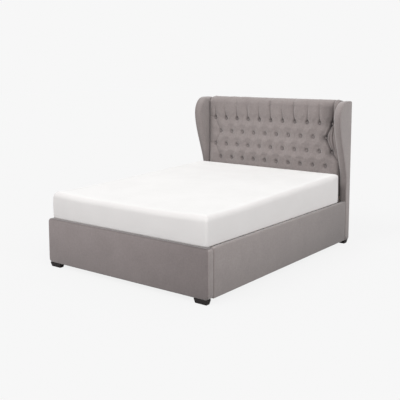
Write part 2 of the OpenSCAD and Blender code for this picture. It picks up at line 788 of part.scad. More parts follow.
// Gas strut, drawn along its own length from its lower eye
module along_strut() {
    side_view(strut_x) translate([strut_foot[0], strut_foot[1], 0]) rotate(strut_angle) children();
}
module strut_tube(from, to, d) {
    translate([from, 0, 0]) rotate([0, 90, 0]) cylinder(h = to - from, d = d);
}
module strut_cylinder() {
    bore = strut_d - 2 * cylinder_wall;
    color(black_plastic)
    along_strut() difference() {
        union() {
            strut_tube(cylinder_start, cylinder_end, strut_d);
            translate([0, 0, -eye_t / 2]) cylinder(h = eye_t, r = eye_r);
        }
        strut_tube(rod_start - 6, cylinder_end - gland_length, bore);
        strut_tube(cylinder_end - gland_length - 1, cylinder_end + 1, rod_d + 2 * strut_gap);
        translate([0, 0, -eye_t]) cylinder(h = 2 * eye_t, r = stud_d / 2 + pin_clearance);
    }
}
module strut_rod() {
    bore = strut_d - 2 * cylinder_wall;
    slot_r = stud_d / 2 + strut_gap;
    slot_start = [strut_length, 0];
    slot_end = [strut_length + slot_travel, 0];
    color(bright_steel)
    along_strut() {
        strut_tube(rod_start, strut_length - slot_r - 1, rod_d);
        strut_tube(rod_start, rod_start + piston_length, bore - 2 * strut_gap);
        translate([0, 0, -eye_t / 2]) linear_extrude(eye_t) difference() {
            bar_outline(slot_start, slot_end, slot_r + slot_wall);
            bar_outline(slot_start, slot_end, slot_r);
        }
    }
}

// Outer bracket of the platform, for the main arm: its pad sits on the side tube
bracket_start = main_top_from_head + arm_radius + 3;
bracket_length = 100;
module arm_bracket() {
    color(steel) {
        side_view(bracket_outer_x) difference() {
            linear_extrude(link_plate) union() {
                translate(main_top) circle(link_radius);
                translate([main_top[0] - link_radius, main_top[1]])
                    square([2 * link_radius, platform_bottom + tube_height - main_top[1]]);
                translate([main_top[0], platform_bottom])
                    square([bracket_start + bracket_length - main_top[0], tube_height]);
            }
            translate([main_top[0], main_top[1], -1])
                cylinder(h = link_plate + 2, r = pin_hole_r);
        }
        side_view(bracket_outer_x - link_plate + 0.01)
            translate([bracket_start, platform_bottom, 0])
            cube([bracket_length, tube_height, bracket_pad + 0.01]);
    }
}
// Inner bracket of the platform, for the control link: it hangs from the side tube
module link_bracket() {
    top = [link_top[0], platform_bottom + tube_height / 2];
    color(steel)
    side_view(tube_inner_x) difference() {
        linear_extrude(link_plate) union() {
            bar_outline(link_top, top, min(link_radius, tube_height / 2));
            translate(link_top) circle(link_radius);
            translate([link_top[0] - 40, platform_bottom]) square([80, tube_height]);
        }
        translate([link_top[0], link_top[1], -1])
            cylinder(h = link_plate + 2, r = pin_d / 2 + open_pivot_play);
    }
}

// Steel frame of the platform
module side_tube() {
    color(steel)
    side_view(tube_outer_x) difference() {
        translate([platform_back, platform_bottom, 0])
            cube([platform_length, tube_height, tube_width]);
        translate([platform_back - 1, platform_bottom + tube_wall, tube_wall])
            cube([platform_length + 2, tube_height - 2 * tube_wall, tube_width - 2 * tube_wall]);
    }
}
// Square tube across the bed, in two halves beside the centre beam where it meets one
module half_tube(at, from, to) {
    for (side = [0, 1]) mirror([side, 0, 0]) difference() {
        head_view(at) translate([from, platform_bottom, 0])
            cube([to - from, tube_height, tube_width]);
        head_view(at + tube_wall) translate([from - 1, platform_bottom + tube_wall, 0])
            cube([to - from + 2, tube_height - 2 * tube_wall, tube_width - 2 * tube_wall]);
    }
}
beam_width = 40;
module cross_tubes() {
    color(steel)
    for (at = [platform_back, platform_back + platform_length / 3,
            platform_back + 2 * platform_length / 3, platform_front - tube_width])
        half_tube(at, beam_width / 2, tube_inner_x);
}
module centre_beam() {
    color(steel)
    difference() {
        head_view(platform_back) translate([-beam_width / 2, platform_bottom, 0])
            cube([beam_width, tube_height, platform_length]);
        head_view(platform_back - 1)
            translate([-beam_width / 2 + tube_wall, platform_bottom + tube_wall, 0])
            cube([beam_width - 2 * tube_wall, tube_height - 2 * tube_wall, platform_length + 2]);
    }
}

// Sprung slats: each an arc from its holder on the centre beam to the one on the side tube
slat_pitch = (platform_length - slat_width - 20) / (slat_count - 1);
slat_from_x = 4;
slat_to_x = tube_outer_x - 4;
slat_span = slat_to_x - slat_from_x;
slat_arc_r = (slat_span * slat_span / 4 + slat_bow * slat_bow) / (2 * slat_bow);
module slat_row() {
    centre_z = slat_seat + slat_bow - slat_arc_r;
    color(timber)
    for (k = [0 : slat_count - 1])
        head_view(platform_back + 10 + k * slat_pitch) linear_extrude(slat_width)
        intersection() {
            difference() {
                translate([slat_from_x + slat_span / 2, centre_z])
                    circle(slat_arc_r + slat_thickness, $fn = 360);
                translate([slat_from_x + slat_span / 2, centre_z])
                    circle(slat_arc_r, $fn = 360);
            }
            translate([slat_from_x, slat_seat - 1])
                square([slat_span, slat_thickness + slat_bow + 2]);
        }
}
// Plastic shoes that hold the slats' ends: a floor and two low walls
holder_wall = 2;
holder_length = 22;
holder_height = holder_floor + slat_thickness - 2;
slat_fit = 0.5;
module slat_holder(x, at) {
    outer = slat_width + 2 * (holder_wall + slat_fit);
    head_view(at - holder_wall - slat_fit) translate([x, tube_top, 0])
        cube([holder_length, holder_floor, outer]);
    for (step = [0, outer - holder_wall])
        head_view(at - holder_wall - slat_fit + step) translate([x, tube_top, 0])
            cube([holder_length, holder_height, holder_wall]);
}
module slat_holders() {
    color(black_plastic)
    for (k = [0 : slat_count - 1], side = [0, 1]) mirror([side, 0, 0]) {
        at = platform_back + 10 + k * slat_pitch;
        slat_holder(tube_inner_x + (tube_width - holder_length) / 2, at);
    }
    color(black_plastic)
    for (k = [0 : slat_count - 1]) {
        at = platform_back + 10 + k * slat_pitch - holder_wall - slat_fit;
        head_view(at) translate([-beam_width / 2 + 1, tube_top, 0])
            cube([beam_width - 2, holder_floor, slat_width + 2 * (holder_wall + slat_fit)]);
    }
}

// Hoops of bent rod at the head end that the raised mattress rests against
stop_d = 6;
stop_width = 180;
stop_x = 450;
stop_top = mattress_bottom + 40;
stop_from_head = mattress_back - 6;
module mattress_stop() {
    bend = 24;
    leg = stop_top - stop_d / 2 - bend - platform_bottom;
    for (side = [-1, 1]) {
        head_view(stop_from_head) translate([side * (stop_width - stop_d) / 2, platform_bottom, 0])
            rotate([-90, 0, 0]) cylinder(h = leg, d = stop_d);
        translate([side * ((stop_width - stop_d) / 2 - bend), head_y - stop_from_head,
            platform_bottom + leg])
            rotate([90, 0, 0]) rotate(side > 0 ? 0 : 90)
            rotate_extrude(angle = 90) translate([bend, 0]) circle(d = stop_d);
        head_view(stop_from_head)
            translate([side * (stop_width - stop_d) / 2 - stop_d / 2, platform_bottom, 0])
            cube([stop_d, 20, platform_back - stop_from_head]);
    }
    translate([-(stop_width - stop_d) / 2 + bend, head_y - stop_from_head, stop_top - stop_d / 2])
        rotate([0, 90, 0]) cylinder(h = stop_width - stop_d - 2 * bend, d = stop_d);
}
module mattress_stops() {
    color(bright_steel)
    for (x = [-stop_x, stop_x]) translate([x, 0, 0]) mattress_stop();
}

// Webbing loop at the foot end that the platform is lifted by
strap_width = 40;
strap_t = 2;
strap_gap = 2;
strap_start = platform_front + 12;
module pull_strap() {
    foot = platform_bottom + 2;
    top = mattress_bottom - 3 - strap_t - strap_gap / 2;
    outer_r = strap_t + strap_gap / 2;
    color(black_plastic)
    side_view(strap_width / 2) linear_extrude(strap_width) union() {
        for (ply = [0, strap_t + strap_gap])
            translate([strap_start + ply, foot]) square([strap_t, top - foot]);
        translate([strap_start + outer_r, top]) difference() {
            circle(outer_r);
            circle(strap_gap / 2);
            translate([-2 * outer_r, -4 * outer_r]) square(4 * outer_r);
        }
        translate([platform_front, foot])
            square([strap_start + 2 * outer_r - platform_front, strap_t]);
    }
}

// Mattress: sides drawn in at the seams, edges rolled, top crowned, thicker at the head end
mattress_corner = 24;
mattress_roll = 24;
mattress_roll_low = 10;
mattress_crown = 5;
side_bow = 2;
edge_points = 5;
function soft_side(from, to, bow) = [for (i = [1 : edge_points])
    let (t = i / (edge_points + 1), v = to - from, n = [v[1], -v[0]] / norm(v))
    from + t * v + bow * 4 * t * (1 - t) * n];
function soft_outline(w, h, r, bow) =
    let (corners = rounded_outline(w, h, r), k = corner_steps + 1)
    [for (c = [0 : 3]) each concat([for (i = [0 : corner_steps]) corners[c * k + i]],
        soft_side(corners[c * k + corner_steps], corners[((c + 1) % 4) * k], bow))];
// Each level: inset from the mattress's full size, height above its underside
mattress_body = mattress_thickness - mattress_crown;
mattress_levels = concat(
    [for (i = [0 : 3]) let (a = 30 * i)
        [mattress_roll_low * (1 - sin(a)) + side_bow, mattress_roll_low * (1 - cos(a))]],
    [[0, mattress_body / 2]],
    [for (i = [0 : 3]) let (a = 30 * i)
        [mattress_roll * (1 - cos(a)) + side_bow, mattress_body - mattress_roll * (1 - sin(a))]],
    [[150, mattress_body + 0.45 * mattress_crown], [350, mattress_body + 0.85 * mattress_crown],
        [600, mattress_thickness]]);
// Height of a point that is y from the mattress's middle and z above its underside at the foot
function thickened(y, z) = z * (1 + mattress_rise * (0.5 + y / mattress_length) / mattress_body);
module mattress() {
    rings = [for (level = mattress_levels)
        [for (p = soft_outline(mattress_width - 2 * side_bow - 2 * level[0],
                mattress_length - 2 * side_bow - 2 * level[0],
                max(mattress_corner - level[0] / 2, 20), level[0] < 100 ? side_bow : 0))
            [p[0], p[1], thickened(p[1], level[1])]]];
    color("white")
    translate([0, head_y - (mattress_back + mattress_front) / 2, mattress_bottom])
        skin(rings, [0, 0, 0], [0, 0, thickened(0, mattress_thickness)]);
}

headboard_posts();
headboard_cross_rails();
headboard_board();
headboard_back_cover();
headboard_lower_panel();
tufted_pad();
tuft_buttons();
left_side() wing_pad();  // wing_pad_left
wing_pad();  // wing_pad_right
left_side() wing_board();  // wing_board_left
wing_board();  // wing_board_right
footboard_pad();
footboard_board();
left_side() rail_pad();  // rail_pad_left
rail_pad();  // rail_pad_right
left_side() rail_board();  // rail_board_left
rail_board();  // rail_board_right
left_side() foot_front();  // foot_front_left
foot_front();  // foot_front_right
left_side() foot_rear();  // foot_rear_left
foot_rear();  // foot_rear_right
corner_brackets();
corner_bolts();
left_side() floor_batten();  // floor_batten_left
floor_batten();  // floor_batten_right
floor_end_battens();
centre_rail();
centre_glides();
left_side() storage_floor();  // storage_floor_left
storage_floor();  // storage_floor_right
platform_rests();
left_side() base_plate();  // base_plate_left
base_plate();  // base_plate_right
plate_screws();
fixed_pins();
left_side() main_arm();  // main_arm_left
main_arm();  // main_arm_right
arm_pins();
left_side() control_link();  // control_link_left
control_link();  // control_link_right
link_pins();
left_side() strut_cylinder();  // strut_cylinder_left
strut_cylinder();  // strut_cylinder_right
left_side() strut_rod();  // strut_rod_left
strut_rod();  // strut_rod_right
left_side() arm_bracket();  // arm_bracket_left
arm_bracket();  // arm_bracket_right
left_side() link_bracket();  // link_bracket_left
link_bracket();  // link_bracket_right
left_side() side_tube();  // side_tube_left
side_tube();  // side_tube_right
cross_tubes();
centre_beam();
left_side() slat_row();  // slats_left
slat_row();  // slats_right
slat_holders();
mattress_stops();
pull_strap();
mattress();
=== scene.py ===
# %% [markdown]
# # An upholstered ottoman bed with a button-tufted, winged headboard
#
# The bed's working parts come packed as a fixed model: boards, feet, storage box, lift arms,
# gas struts, slats. Blender never moves or resizes them. What it adds is everything that
# upholstery and finishing add in the workshop: fabric pulled over foam, pleats and buttons,
# a soft mattress, and the surface of every timber, steel and plastic piece.
#
# Lengths are written in millimetres, as an upholsterer would, and turned to metres once.

# %% Load the bed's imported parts
import math
import random

import bmesh
import bpy
import numpy as np
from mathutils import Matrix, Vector, noise


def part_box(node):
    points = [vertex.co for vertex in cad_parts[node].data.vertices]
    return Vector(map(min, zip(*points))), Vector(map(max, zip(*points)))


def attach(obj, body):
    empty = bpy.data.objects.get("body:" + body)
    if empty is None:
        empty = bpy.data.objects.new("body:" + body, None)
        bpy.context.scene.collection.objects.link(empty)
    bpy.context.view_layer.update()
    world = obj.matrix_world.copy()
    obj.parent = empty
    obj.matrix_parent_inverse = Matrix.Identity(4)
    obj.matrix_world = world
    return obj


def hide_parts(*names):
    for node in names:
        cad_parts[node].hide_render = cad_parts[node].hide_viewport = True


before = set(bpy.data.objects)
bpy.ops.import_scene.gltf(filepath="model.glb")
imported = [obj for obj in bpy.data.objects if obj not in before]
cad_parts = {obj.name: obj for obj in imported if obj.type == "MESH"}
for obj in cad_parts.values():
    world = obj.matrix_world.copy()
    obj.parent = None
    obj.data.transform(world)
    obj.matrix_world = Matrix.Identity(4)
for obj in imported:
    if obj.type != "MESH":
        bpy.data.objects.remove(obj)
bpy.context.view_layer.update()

MM = 0.001


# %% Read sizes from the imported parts
def box_mm(node):
    """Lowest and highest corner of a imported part, in millimetres."""
    low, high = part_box(node)
    return np.array(low) / MM, np.array(high) / MM


# Distances from the back of the bed, towards its foot end, are easier to picture than y
back_y = box_mm("headboard_back_cover")[1][1]


def at(x, from_back, z):
    """A point in millimetres, from its x, its distance from the bed's back and its height."""
    return np.stack(np.broadcast_arrays(x, back_y - np.asarray(from_back), z), axis=-1)


def from_back(node):
    """Where a part starts and ends, measured from the back of the bed."""
    low, high = box_mm(node)
    return back_y - high[1], back_y - low[1]


# %% [markdown]
# ## Camera
#
# A long lens at eye height looks at the bed's foot corner from its right. A small vertical
# shift stands in for the crop of the picture, so that uprights stay nearly upright.

# %% Camera
eye_place = (3.4938, -4.7054, 1.6075)
eye_pitch_down, eye_turn = 7.073, 37.281
camera_data = bpy.data.cameras.new("camera")
camera_data.lens = 62.78
camera_data.shift_y = -0.12
camera = bpy.data.objects.new("camera", camera_data)
camera.location = eye_place
camera.rotation_euler = (math.radians(90 - eye_pitch_down), 0, math.radians(eye_turn))
bpy.context.scene.collection.objects.link(camera)
bpy.context.scene.camera = camera
print("camera", tuple(round(v, 3) for v in camera.location))


# %% [markdown]
# ## Colours and nodes
#
# Colours are picked on a screen, so they are written as sRGB hex values. Shaders add up
# light, so they need linear values: one function converts them. One more function adds a
# node, sets what it is told, and links what is a node or a socket. A material begins with
# an empty node tree and ends with a surface shader, and both take a short function.

# %% Colour and node helpers
def linear(hex_colour):
    """An sRGB hex colour, such as "8f8684", as linear red, green, blue and a full alpha."""
    channels = [int(hex_colour[i : i + 2], 16) / 255 for i in (0, 2, 4)]
    curve = [c / 12.92 if c <= 0.04045 else ((c + 0.055) / 1.055) ** 2.4 for c in channels]
    return (*curve, 1.0)


def add_node(tree, kind, inputs=None, **settings):
    """Adds a node with its settings. Each input, by name or number, is linked or set: a
    node stands for its first output, and a hex colour is turned linear."""
    node = tree.nodes.new("ShaderNode" + kind)
    for name, value in settings.items():
        setattr(node, name, value)
    for name, value in (inputs or {}).items():
        if isinstance(value, bpy.types.Node):
            value = value.outputs[0]
        if isinstance(value, bpy.types.NodeSocket):
            tree.links.new(value, node.inputs[name])
        else:
            fixed = linear(value) if isinstance(value, str) else value
            node.inputs[name].default_value = fixed
    return node


def new_material(name):
    """A material and its empty node tree."""
    material = bpy.data.materials.new(name)
    material.use_nodes = True
    material.node_tree.nodes.clear()
    print("material", name)
    return material, material.node_tree


def surface(tree, colour, relief=None, **values):
    """Ends a material with its shader. The relief is a height, a strength and a depth in
    mm; the values go to the shader's own sockets."""
    inputs = {socket.replace("_", " "): value for socket, value in values.items()}
    inputs["Base Color"] = colour
    if relief:
        height, strength, depth_mm = relief
        inputs["Normal"] = add_node(tree, "Bump", {
            "Height": height, "Strength": strength, "Distance": depth_mm * MM})
    add_node(tree, "OutputMaterial", {"Surface": add_node(tree, "BsdfPrincipled", inputs)})


# %% [markdown]
# ## Upholstery fabric
#
# Common name: plain-weave upholstery cloth, a polyester and viscose blend in a warm taupe
# grey. Warp and weft cross one over one. The eye gets a matt, slightly cloudy surface: slub
# yarns that swell here and there, and a faint bloom at glancing angles from loose fibre.
#
# The real yarns are 0.8 mm apart, which is finer than a picture of a whole bed can hold, so
# the weave is drawn at 2.4 mm and the slubs as short streaks, 3 mm wide and 45 mm long.
# The pattern is a product of two waves on each of the three axis planes, mixed by which way
# the surface faces. It needs no unwrapping, so it runs over every panel alike.
#
# The panels take lighter or darker copies of the one cloth, painted light and shade for how
# the light falls on each, and each may darken slowly along an axis as painted shade. Where
# the cloth is tucked, in its folds and seams, it gets painted shade, and where it puffs out
# a painted highlight: a piece says how much at each of its points, in an attribute.

# %% Woven upholstery cloth
def wave_weave(tree, spacing_mm):
    """Height of a plain weave with that yarn spacing, from -1 to 1, on any side of a piece."""
    place = add_node(tree, "TexCoord")
    turns = math.pi / (spacing_mm * MM)
    scaled = add_node(tree, "VectorMath", {0: place.outputs["Object"], 1: (turns,) * 3},
                      operation="MULTIPLY")
    waves = add_node(tree, "VectorMath", {0: scaled}, operation="SINE")
    x, y, z = add_node(tree, "SeparateXYZ", {0: waves}).outputs
    one = add_node(tree, "CombineXYZ", {0: y, 1: z, 2: x})
    other = add_node(tree, "CombineXYZ", {0: z, 1: x, 2: y})
    crossed = add_node(tree, "VectorMath", {0: one, 1: other}, operation="MULTIPLY")
    normal = place.outputs["Normal"]
    facing = add_node(tree, "VectorMath", {0: normal, 1: normal}, operation="MULTIPLY")
    return add_node(tree, "VectorMath", {0: crossed, 1: facing},
                    operation="DOT_PRODUCT").outputs["Value"]


def stretched_noise(tree, size_mm, detail=3.0):
    """Noise whose blotches have that size, or those sizes along x, y and z."""
    scale = tuple(1 / (np.broadcast_to(size_mm, 3) * MM))
    place = add_node(tree, "TexCoord")
    spread = add_node(tree, "Mapping", {"Vector": place.outputs["Object"], "Scale": scale})
    return add_node(tree, "TexNoise", {"Vector": spread, "Scale": 1.0, "Detail": detail,
                                       "Roughness": 0.6})


def woven_cloth(name, tones, painted_shade_strength=0.0, slopes=()):
    """Cloth in three tones. Painted shade darkens it, up to a given strength, where a piece
    asks for it, and a painted highlight lightens it below nought. Each slope (axis, from, to,
    level) paints shade that takes it down to that level along an axis, in mm."""
    cloth, tree = new_material(name)
    weave = wave_weave(tree, 2.4)
    yarns = add_node(tree, "Math", {0: stretched_noise(tree, (3, 3, 45)),
                                    1: stretched_noise(tree, (45, 45, 3))}, operation="ADD")
    clouds = add_node(tree, "Math", {0: stretched_noise(tree, 160, 4.0),
                                     1: stretched_noise(tree, 14, 2.0)}, operation="ADD")
    both = add_node(tree, "Math", {0: yarns, 1: clouds}, operation="ADD")
    lifted = add_node(tree, "Math", {0: weave, 1: 0.18, 2: both}, operation="MULTIPLY_ADD")
    share = add_node(tree, "MapRange", {"Value": lifted, "From Min": 1.3, "From Max": 2.7})
    tone = add_node(tree, "ValToRGB", {0: share})
    tone.color_ramp.elements.new(0.5)
    for step, colour in zip(tone.color_ramp.elements, tones):
        step.color = linear(colour)
    if painted_shade_strength:
        # Painted light from a value at each point: above nought it paints shade, and below
        # nought, where the cloth puffs out, a highlight
        painted_shade = add_node(tree, "Attribute", attribute_name="painted_shade").outputs["Fac"]
        for factor, colour in ((-0.5, "e0d8d6"), (painted_shade_strength, "1d1717")):
            amount = add_node(tree, "Math", {0: painted_shade, 1: factor}, operation="MULTIPLY",
                              use_clamp=True)
            tone = add_node(tree, "MixRGB", {0: amount, 1: tone, 2: colour})
    place = add_node(tree, "TexCoord")
    along = add_node(tree, "SeparateXYZ", {0: place.outputs["Object"]})
    for axis, start, end, level in slopes:
        here = add_node(tree, "MapRange", {
            "Value": along.outputs[axis], "From Min": start * MM, "From Max": end * MM,
            "To Min": 1.0, "To Max": level})
        tone = add_node(tree, "VectorMath", {0: tone, 1: here}, operation="MULTIPLY")
    height = add_node(tree, "Math", {0: weave, 1: 0.5, 2: yarns}, operation="MULTIPLY_ADD")
    surface(tree, tone, (height, 0.35, 0.5), Roughness=0.88, Specular_IOR_Level=0.2,
            Sheen_Weight=0.5, Sheen_Roughness=0.5)
    return cloth


# The rails and wings take lighter tones of the same cloth, and the footboard a darker one:
# painted light and shade
side_tones = ("888080", "948b89", "9f9795")
# From the rails' top edge down to the floor the cloth gets less of the room's light
to_floor = ("Z", 392, 35, 0.76)
taupe_weave = woven_cloth("woven_upholstery_cloth", ("857c7b", "908785", "9b9290"),
                          slopes=[to_floor])
# Painted shade: the rails darken towards the head, the wings towards the left, and the
# footboard towards its right end and along its top edge
rail_weave = woven_cloth("woven_upholstery_cloth_on_rails", side_tones,
                         slopes=[to_floor, ("Y", -500, 1000, 0.80), ("Y", 400, 1000, 0.90)])
wing_weave = woven_cloth("woven_upholstery_cloth_on_wings", side_tones, painted_shade_strength=0.85,
                         slopes=[to_floor, ("X", 500, -500, 0.88)])
footboard_weave = woven_cloth("woven_upholstery_cloth_on_footboard",
                              ("807675", "8b8180", "968c8b"),
                              slopes=[to_floor, ("X", -500, 300, 0.95),
                                      ("X", 200, 800, 0.83), ("Z", 382, 391, 0.55)])
tufted_weave = woven_cloth("woven_upholstery_cloth_tufted", ("827978", "8d8482", "98908e"),
                           painted_shade_strength=0.85)

# %% [markdown]
# ## Mattress cover
#
# Common name: white double-jersey mattress ticking, a knitted cover over foam. Knitting
# gives fine ribs along the length and a soft, matt white that picks up grey in the hollows.
# The real ribs are 1.2 mm apart and are drawn at 4 mm.

# %% Knitted mattress ticking
def knitted_ticking():
    knit, tree = new_material("knitted_mattress_ticking")
    weave = wave_weave(tree, 4.0)
    clouds = stretched_noise(tree, 240)
    share = add_node(tree, "MapRange", {"Value": clouds, "From Min": 0.3, "From Max": 0.7})
    white = add_node(tree, "MixRGB", {0: share, 1: "e5e4e3", 2: "e9e8e7"})
    # Painted shade: where it faces less upwards, on its sides and rolled edges, the knit is
    # painted a shade greyer than on the top
    place = add_node(tree, "TexCoord")
    facing = add_node(tree, "SeparateXYZ", {0: place.outputs["Normal"]})
    upward = add_node(tree, "MapRange", {"Value": facing.outputs["Z"], "From Min": 0.8,
                                         "From Max": 0.99})
    # Towards the headboard the top lies in its shade, and is drawn lighter to make up for it
    along = add_node(tree, "SeparateXYZ", {0: place.outputs["Object"]})
    top = add_node(tree, "MapRange", {"Value": along.outputs["Y"], "From Min": 500 * MM,
                                      "From Max": 900 * MM, "To Min": 0.97, "To Max": 1.09})
    painted_light = add_node(tree, "MixRGB", {0: upward, 1: "f3f1f1", 2: top})
    tone = add_node(tree, "VectorMath", {0: white, 1: painted_light}, operation="MULTIPLY")
    height = add_node(tree, "Math", {0: weave, 1: 0.35, 2: clouds}, operation="MULTIPLY_ADD")
    surface(tree, tone, (height, 0.25, 0.6), Roughness=0.9, Specular_IOR_Level=0.2,
            Sheen_Weight=0.12, Sheen_Roughness=0.5)
    return knit


white_knit = knitted_ticking()

# %% [markdown]
# ## Timber and board
#
# Three woods do the hidden work. Planed softwood, such as pine, is sawn and planed along
# its grain: growth rings cut lengthways read as long streaks a few millimetres apart.
# Steam-bent birch veneer makes the sprung slats: pale, with fine short grain under a clear
# seal. Hardboard is pressed fibre: an even brown with darker flecks and no direction.

# %% Planed pine, birch veneer and hardboard
def grained_wood(name, along, colours, ring_mm, roughness, coat=0.0):
    """Wood whose grain runs along x, y or z, with rings that far apart."""
    wood, tree = new_material(name)
    size = np.full(3, float(ring_mm))
    size["xyz".index(along)] *= 30
    pores = stretched_noise(tree, size / 5, 2.0)
    grain = add_node(tree, "Math", {0: pores, 1: 0.35, 2: stretched_noise(tree, size, 4.0)},
                     operation="MULTIPLY_ADD")
    share = add_node(tree, "MapRange", {"Value": grain, "From Min": 0.45, "From Max": 0.9})
    tone = add_node(tree, "MixRGB", {0: share, 1: colours[0], 2: colours[1]})
    surface(tree, tone, (grain, 0.25, 0.3), Roughness=roughness, Coat_Weight=coat,
            Coat_Roughness=0.3)
    return wood


pine_upright, pine_across, pine_along = (
    grained_wood("planed_pine_" + way, axis, ("b98f5f", "d9b98a"), ring_mm=7, roughness=0.62)
    for way, axis in (("upright", "z"), ("across", "x"), ("along", "y")))
birch = grained_wood("sealed_birch_veneer", "x", ("cfae7c", "e2c79b"), ring_mm=4,
                     roughness=0.42, coat=0.25)
hardboard = grained_wood("pressed_hardboard", "y", ("8a6442", "a67f57"), ring_mm=2.5,
                         roughness=0.55)

# %% [markdown]
# ## Steel
#
# The lift mechanism is mild steel. Its arms and frame are powder coated: dry paint powder
# is baked on, which leaves a satin film with a faint orange peel about 1.5 mm across. Pins
# and bolts are zinc plated: bright metal, dulled in cloudy patches. Strut cylinders are
# sprayed black and smoother, with a peel of about 3 mm.

# %% Powder coat, zinc plate and sprayed enamel
def fine_grained(name, colours, cloud_mm, grain_mm, strength, depth_mm, **values):
    """A coat or moulding in two close tones, with a fine grain in relief."""
    finish, tree = new_material(name)
    cloud = stretched_noise(tree, cloud_mm, 4.0)
    tone = add_node(tree, "MixRGB", {0: cloud, 1: colours[0], 2: colours[1]})
    surface(tree, tone, (stretched_noise(tree, grain_mm, 2.0), strength, depth_mm), **values)
    return finish


def zinc_plate():
    zinc, tree = new_material("zinc_plated_steel")
    cloud = stretched_noise(tree, 12)
    tone = add_node(tree, "MixRGB", {0: cloud, 1: "b3b5b8", 2: "cfd0d2"})
    gloss = add_node(tree, "MapRange", {"Value": cloud, "To Min": 0.24, "To Max": 0.42})
    surface(tree, tone, Metallic=1.0, Roughness=gloss)
    return zinc


paint_coat = {"cloud_mm": 90, "strength": 0.2, "depth_mm": 0.15, "Coat_Weight": 0.15,
              "Coat_Roughness": 0.35}
grey_powder_coat = fine_grained("grey_powder_coat", ("38383a", "424244"), grain_mm=1.5,
                                Roughness=0.45, **paint_coat)
black_enamel = fine_grained("sprayed_black_enamel", ("17171a", "1e1e21"), grain_mm=3.0,
                            Roughness=0.3, **paint_coat)
zinc = zinc_plate()

# %% [markdown]
# ## Moulded plastic and webbing
#
# Feet, glides and slat holders are injection-moulded polypropylene. The steel mould is
# spark eroded, so the plastic comes out with a fine, even grain of about 1 mm that keeps
# it from shining. The lifting strap is woven polyester webbing, drawn with the same plain
# weave as the upholstery.

# %% Moulded polypropylene and ribbed webbing
black_plastic = fine_grained("moulded_polypropylene", ("1f1a1a", "2a2424"), cloud_mm=30,
                             grain_mm=1.0, strength=0.3, depth_mm=0.1, Roughness=0.55,
                             Specular_IOR_Level=0.45)
black_webbing = woven_cloth("ribbed_polyester_webbing", ("161616", "202020", "2b2b2c"))


# %% [markdown]
# ## Bands of rings
#
# Most upholstered panels are boards with foam on them, wrapped in cloth. Seen in section
# their edges are round, and seen from the front their faces stand a few millimetres proud
# in the middle. A box with a bevel would give the first but not the second. Here a panel is
# a stack of rings: rounded outlines that step in and up round each edge, then further in
# over the face with a little more height each time.

# %% Rings round a panel
def quarter(centre, radius, start, end, steps=8):
    """Points on an arc between two angles in degrees."""
    a = np.radians(np.linspace(start, end, steps + 1))[:, None]
    return np.array(centre) + radius * np.hstack([np.cos(a), np.sin(a)])


def outline(width, height, corner, counts):
    """Points round a rounded rectangle about the origin; counts are the steps per side."""
    x, y = width / 2 - corner, height / 2 - corner
    arcs = [quarter(centre, corner, 90 * turn, 90 * turn + 90)
            for turn, centre in enumerate(((x, y), (-x, y), (-x, -y), (x, -y)))]
    points = []
    for turn, arc in enumerate(arcs):
        side = np.linspace(arc[-1], arcs[(turn + 1) % 4][0], counts[turn % 2] + 1)
        points += [arc, side[1:-1]]
    return np.vstack(points)


def near_roll(radius, steps=6, inset=0.0):
    """Inset and height of the rings that roll the first face into the sides."""
    angles = [math.radians(90 * i / steps) for i in range(steps + 1)]
    return [(inset + radius * (1 - math.sin(a)), radius * (1 - math.cos(a))) for a in angles]


def far_roll(radius, thickness, steps=6, inset=0.0):
    """The same roll on the other face of a panel that thick."""
    return [(i, thickness - h) for i, h in reversed(near_roll(radius, steps, inset))]


def padded_rings(width, height, thickness, edge, corner, crowns, step=45):
    """Rings of a padded panel that lies on the plane h = 0; crowns are its two faces' rise."""
    counts = (max(2, round(width / step)), max(2, round(height / step)))
    reach = min(width, height) / 2
    # The face's rings lie close together near the edge, where the foam's rise is steepest
    face = [edge + i for i in (6, 16, 34, 62, 100, 150) if edge + i < reach - 8] + [reach - 6]
    steepness = 2.6

    def rise(inset):
        return 1 - (1 - min(1, (inset - edge) / (reach - edge))) ** steepness

    levels = [(i, -crowns[0] * rise(i)) for i in reversed(face)]
    levels += near_roll(edge) + far_roll(edge, thickness)
    levels += [(i, thickness + crowns[1] * rise(i)) for i in face]
    rings = []
    for inset, h in levels:
        flat = outline(width - 2 * inset, height - 2 * inset, max(corner - inset, 3), counts)
        rings.append(np.column_stack([flat, np.full(len(flat), h)]))
    return np.array(rings)


def quads(rows, around, first=0, closed=False):
    """Quads between rings of points, and from the last to the first if they close."""
    return [tuple(first + i % rows * around + j % around
                  for i, j in ((row, k), (row, k + 1), (row + 1, k + 1), (row + 1, k)))
            for row in range(rows if closed else rows - 1) for k in range(around)]


def ring_faces(rows, around):
    """Quads between rings, and one face over each end."""
    last = (rows - 1) * around
    return quads(rows, around) + [tuple(reversed(range(around))),
                                  tuple(range(last, last + around))]


# %% Pieces from points
def make_piece(name, points_mm, material, faces=None, painted_shade=None,
               body="bed_frame"):
    """A smooth piece from points in mm, riding on a body. Without faces the points are
    rings. Values given for each point paint shade there, and below nought a highlight."""
    points_mm = np.asarray(points_mm, float)
    faces = faces or ring_faces(*points_mm.shape[:2])
    mesh = bpy.data.meshes.new(name)
    mesh.from_pydata(points_mm.reshape(-1, 3) * MM, [], faces)
    shaped = bmesh.new()
    shaped.from_mesh(mesh)
    bmesh.ops.recalc_face_normals(shaped, faces=shaped.faces)
    shaped.to_mesh(mesh)
    shaped.free()
    mesh.polygons.foreach_set("use_smooth", [True] * len(mesh.polygons))
    mesh.materials.append(material)
    if painted_shade is not None:
        values = mesh.attributes.new("painted_shade", "FLOAT", "POINT").data
        values.foreach_set("value", np.ravel(painted_shade))
    piece = bpy.data.objects.new(name, mesh)
    bpy.context.scene.collection.objects.link(piece)
    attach(piece, body)
    print("piece", name, len(mesh.vertices), "points")
    return piece


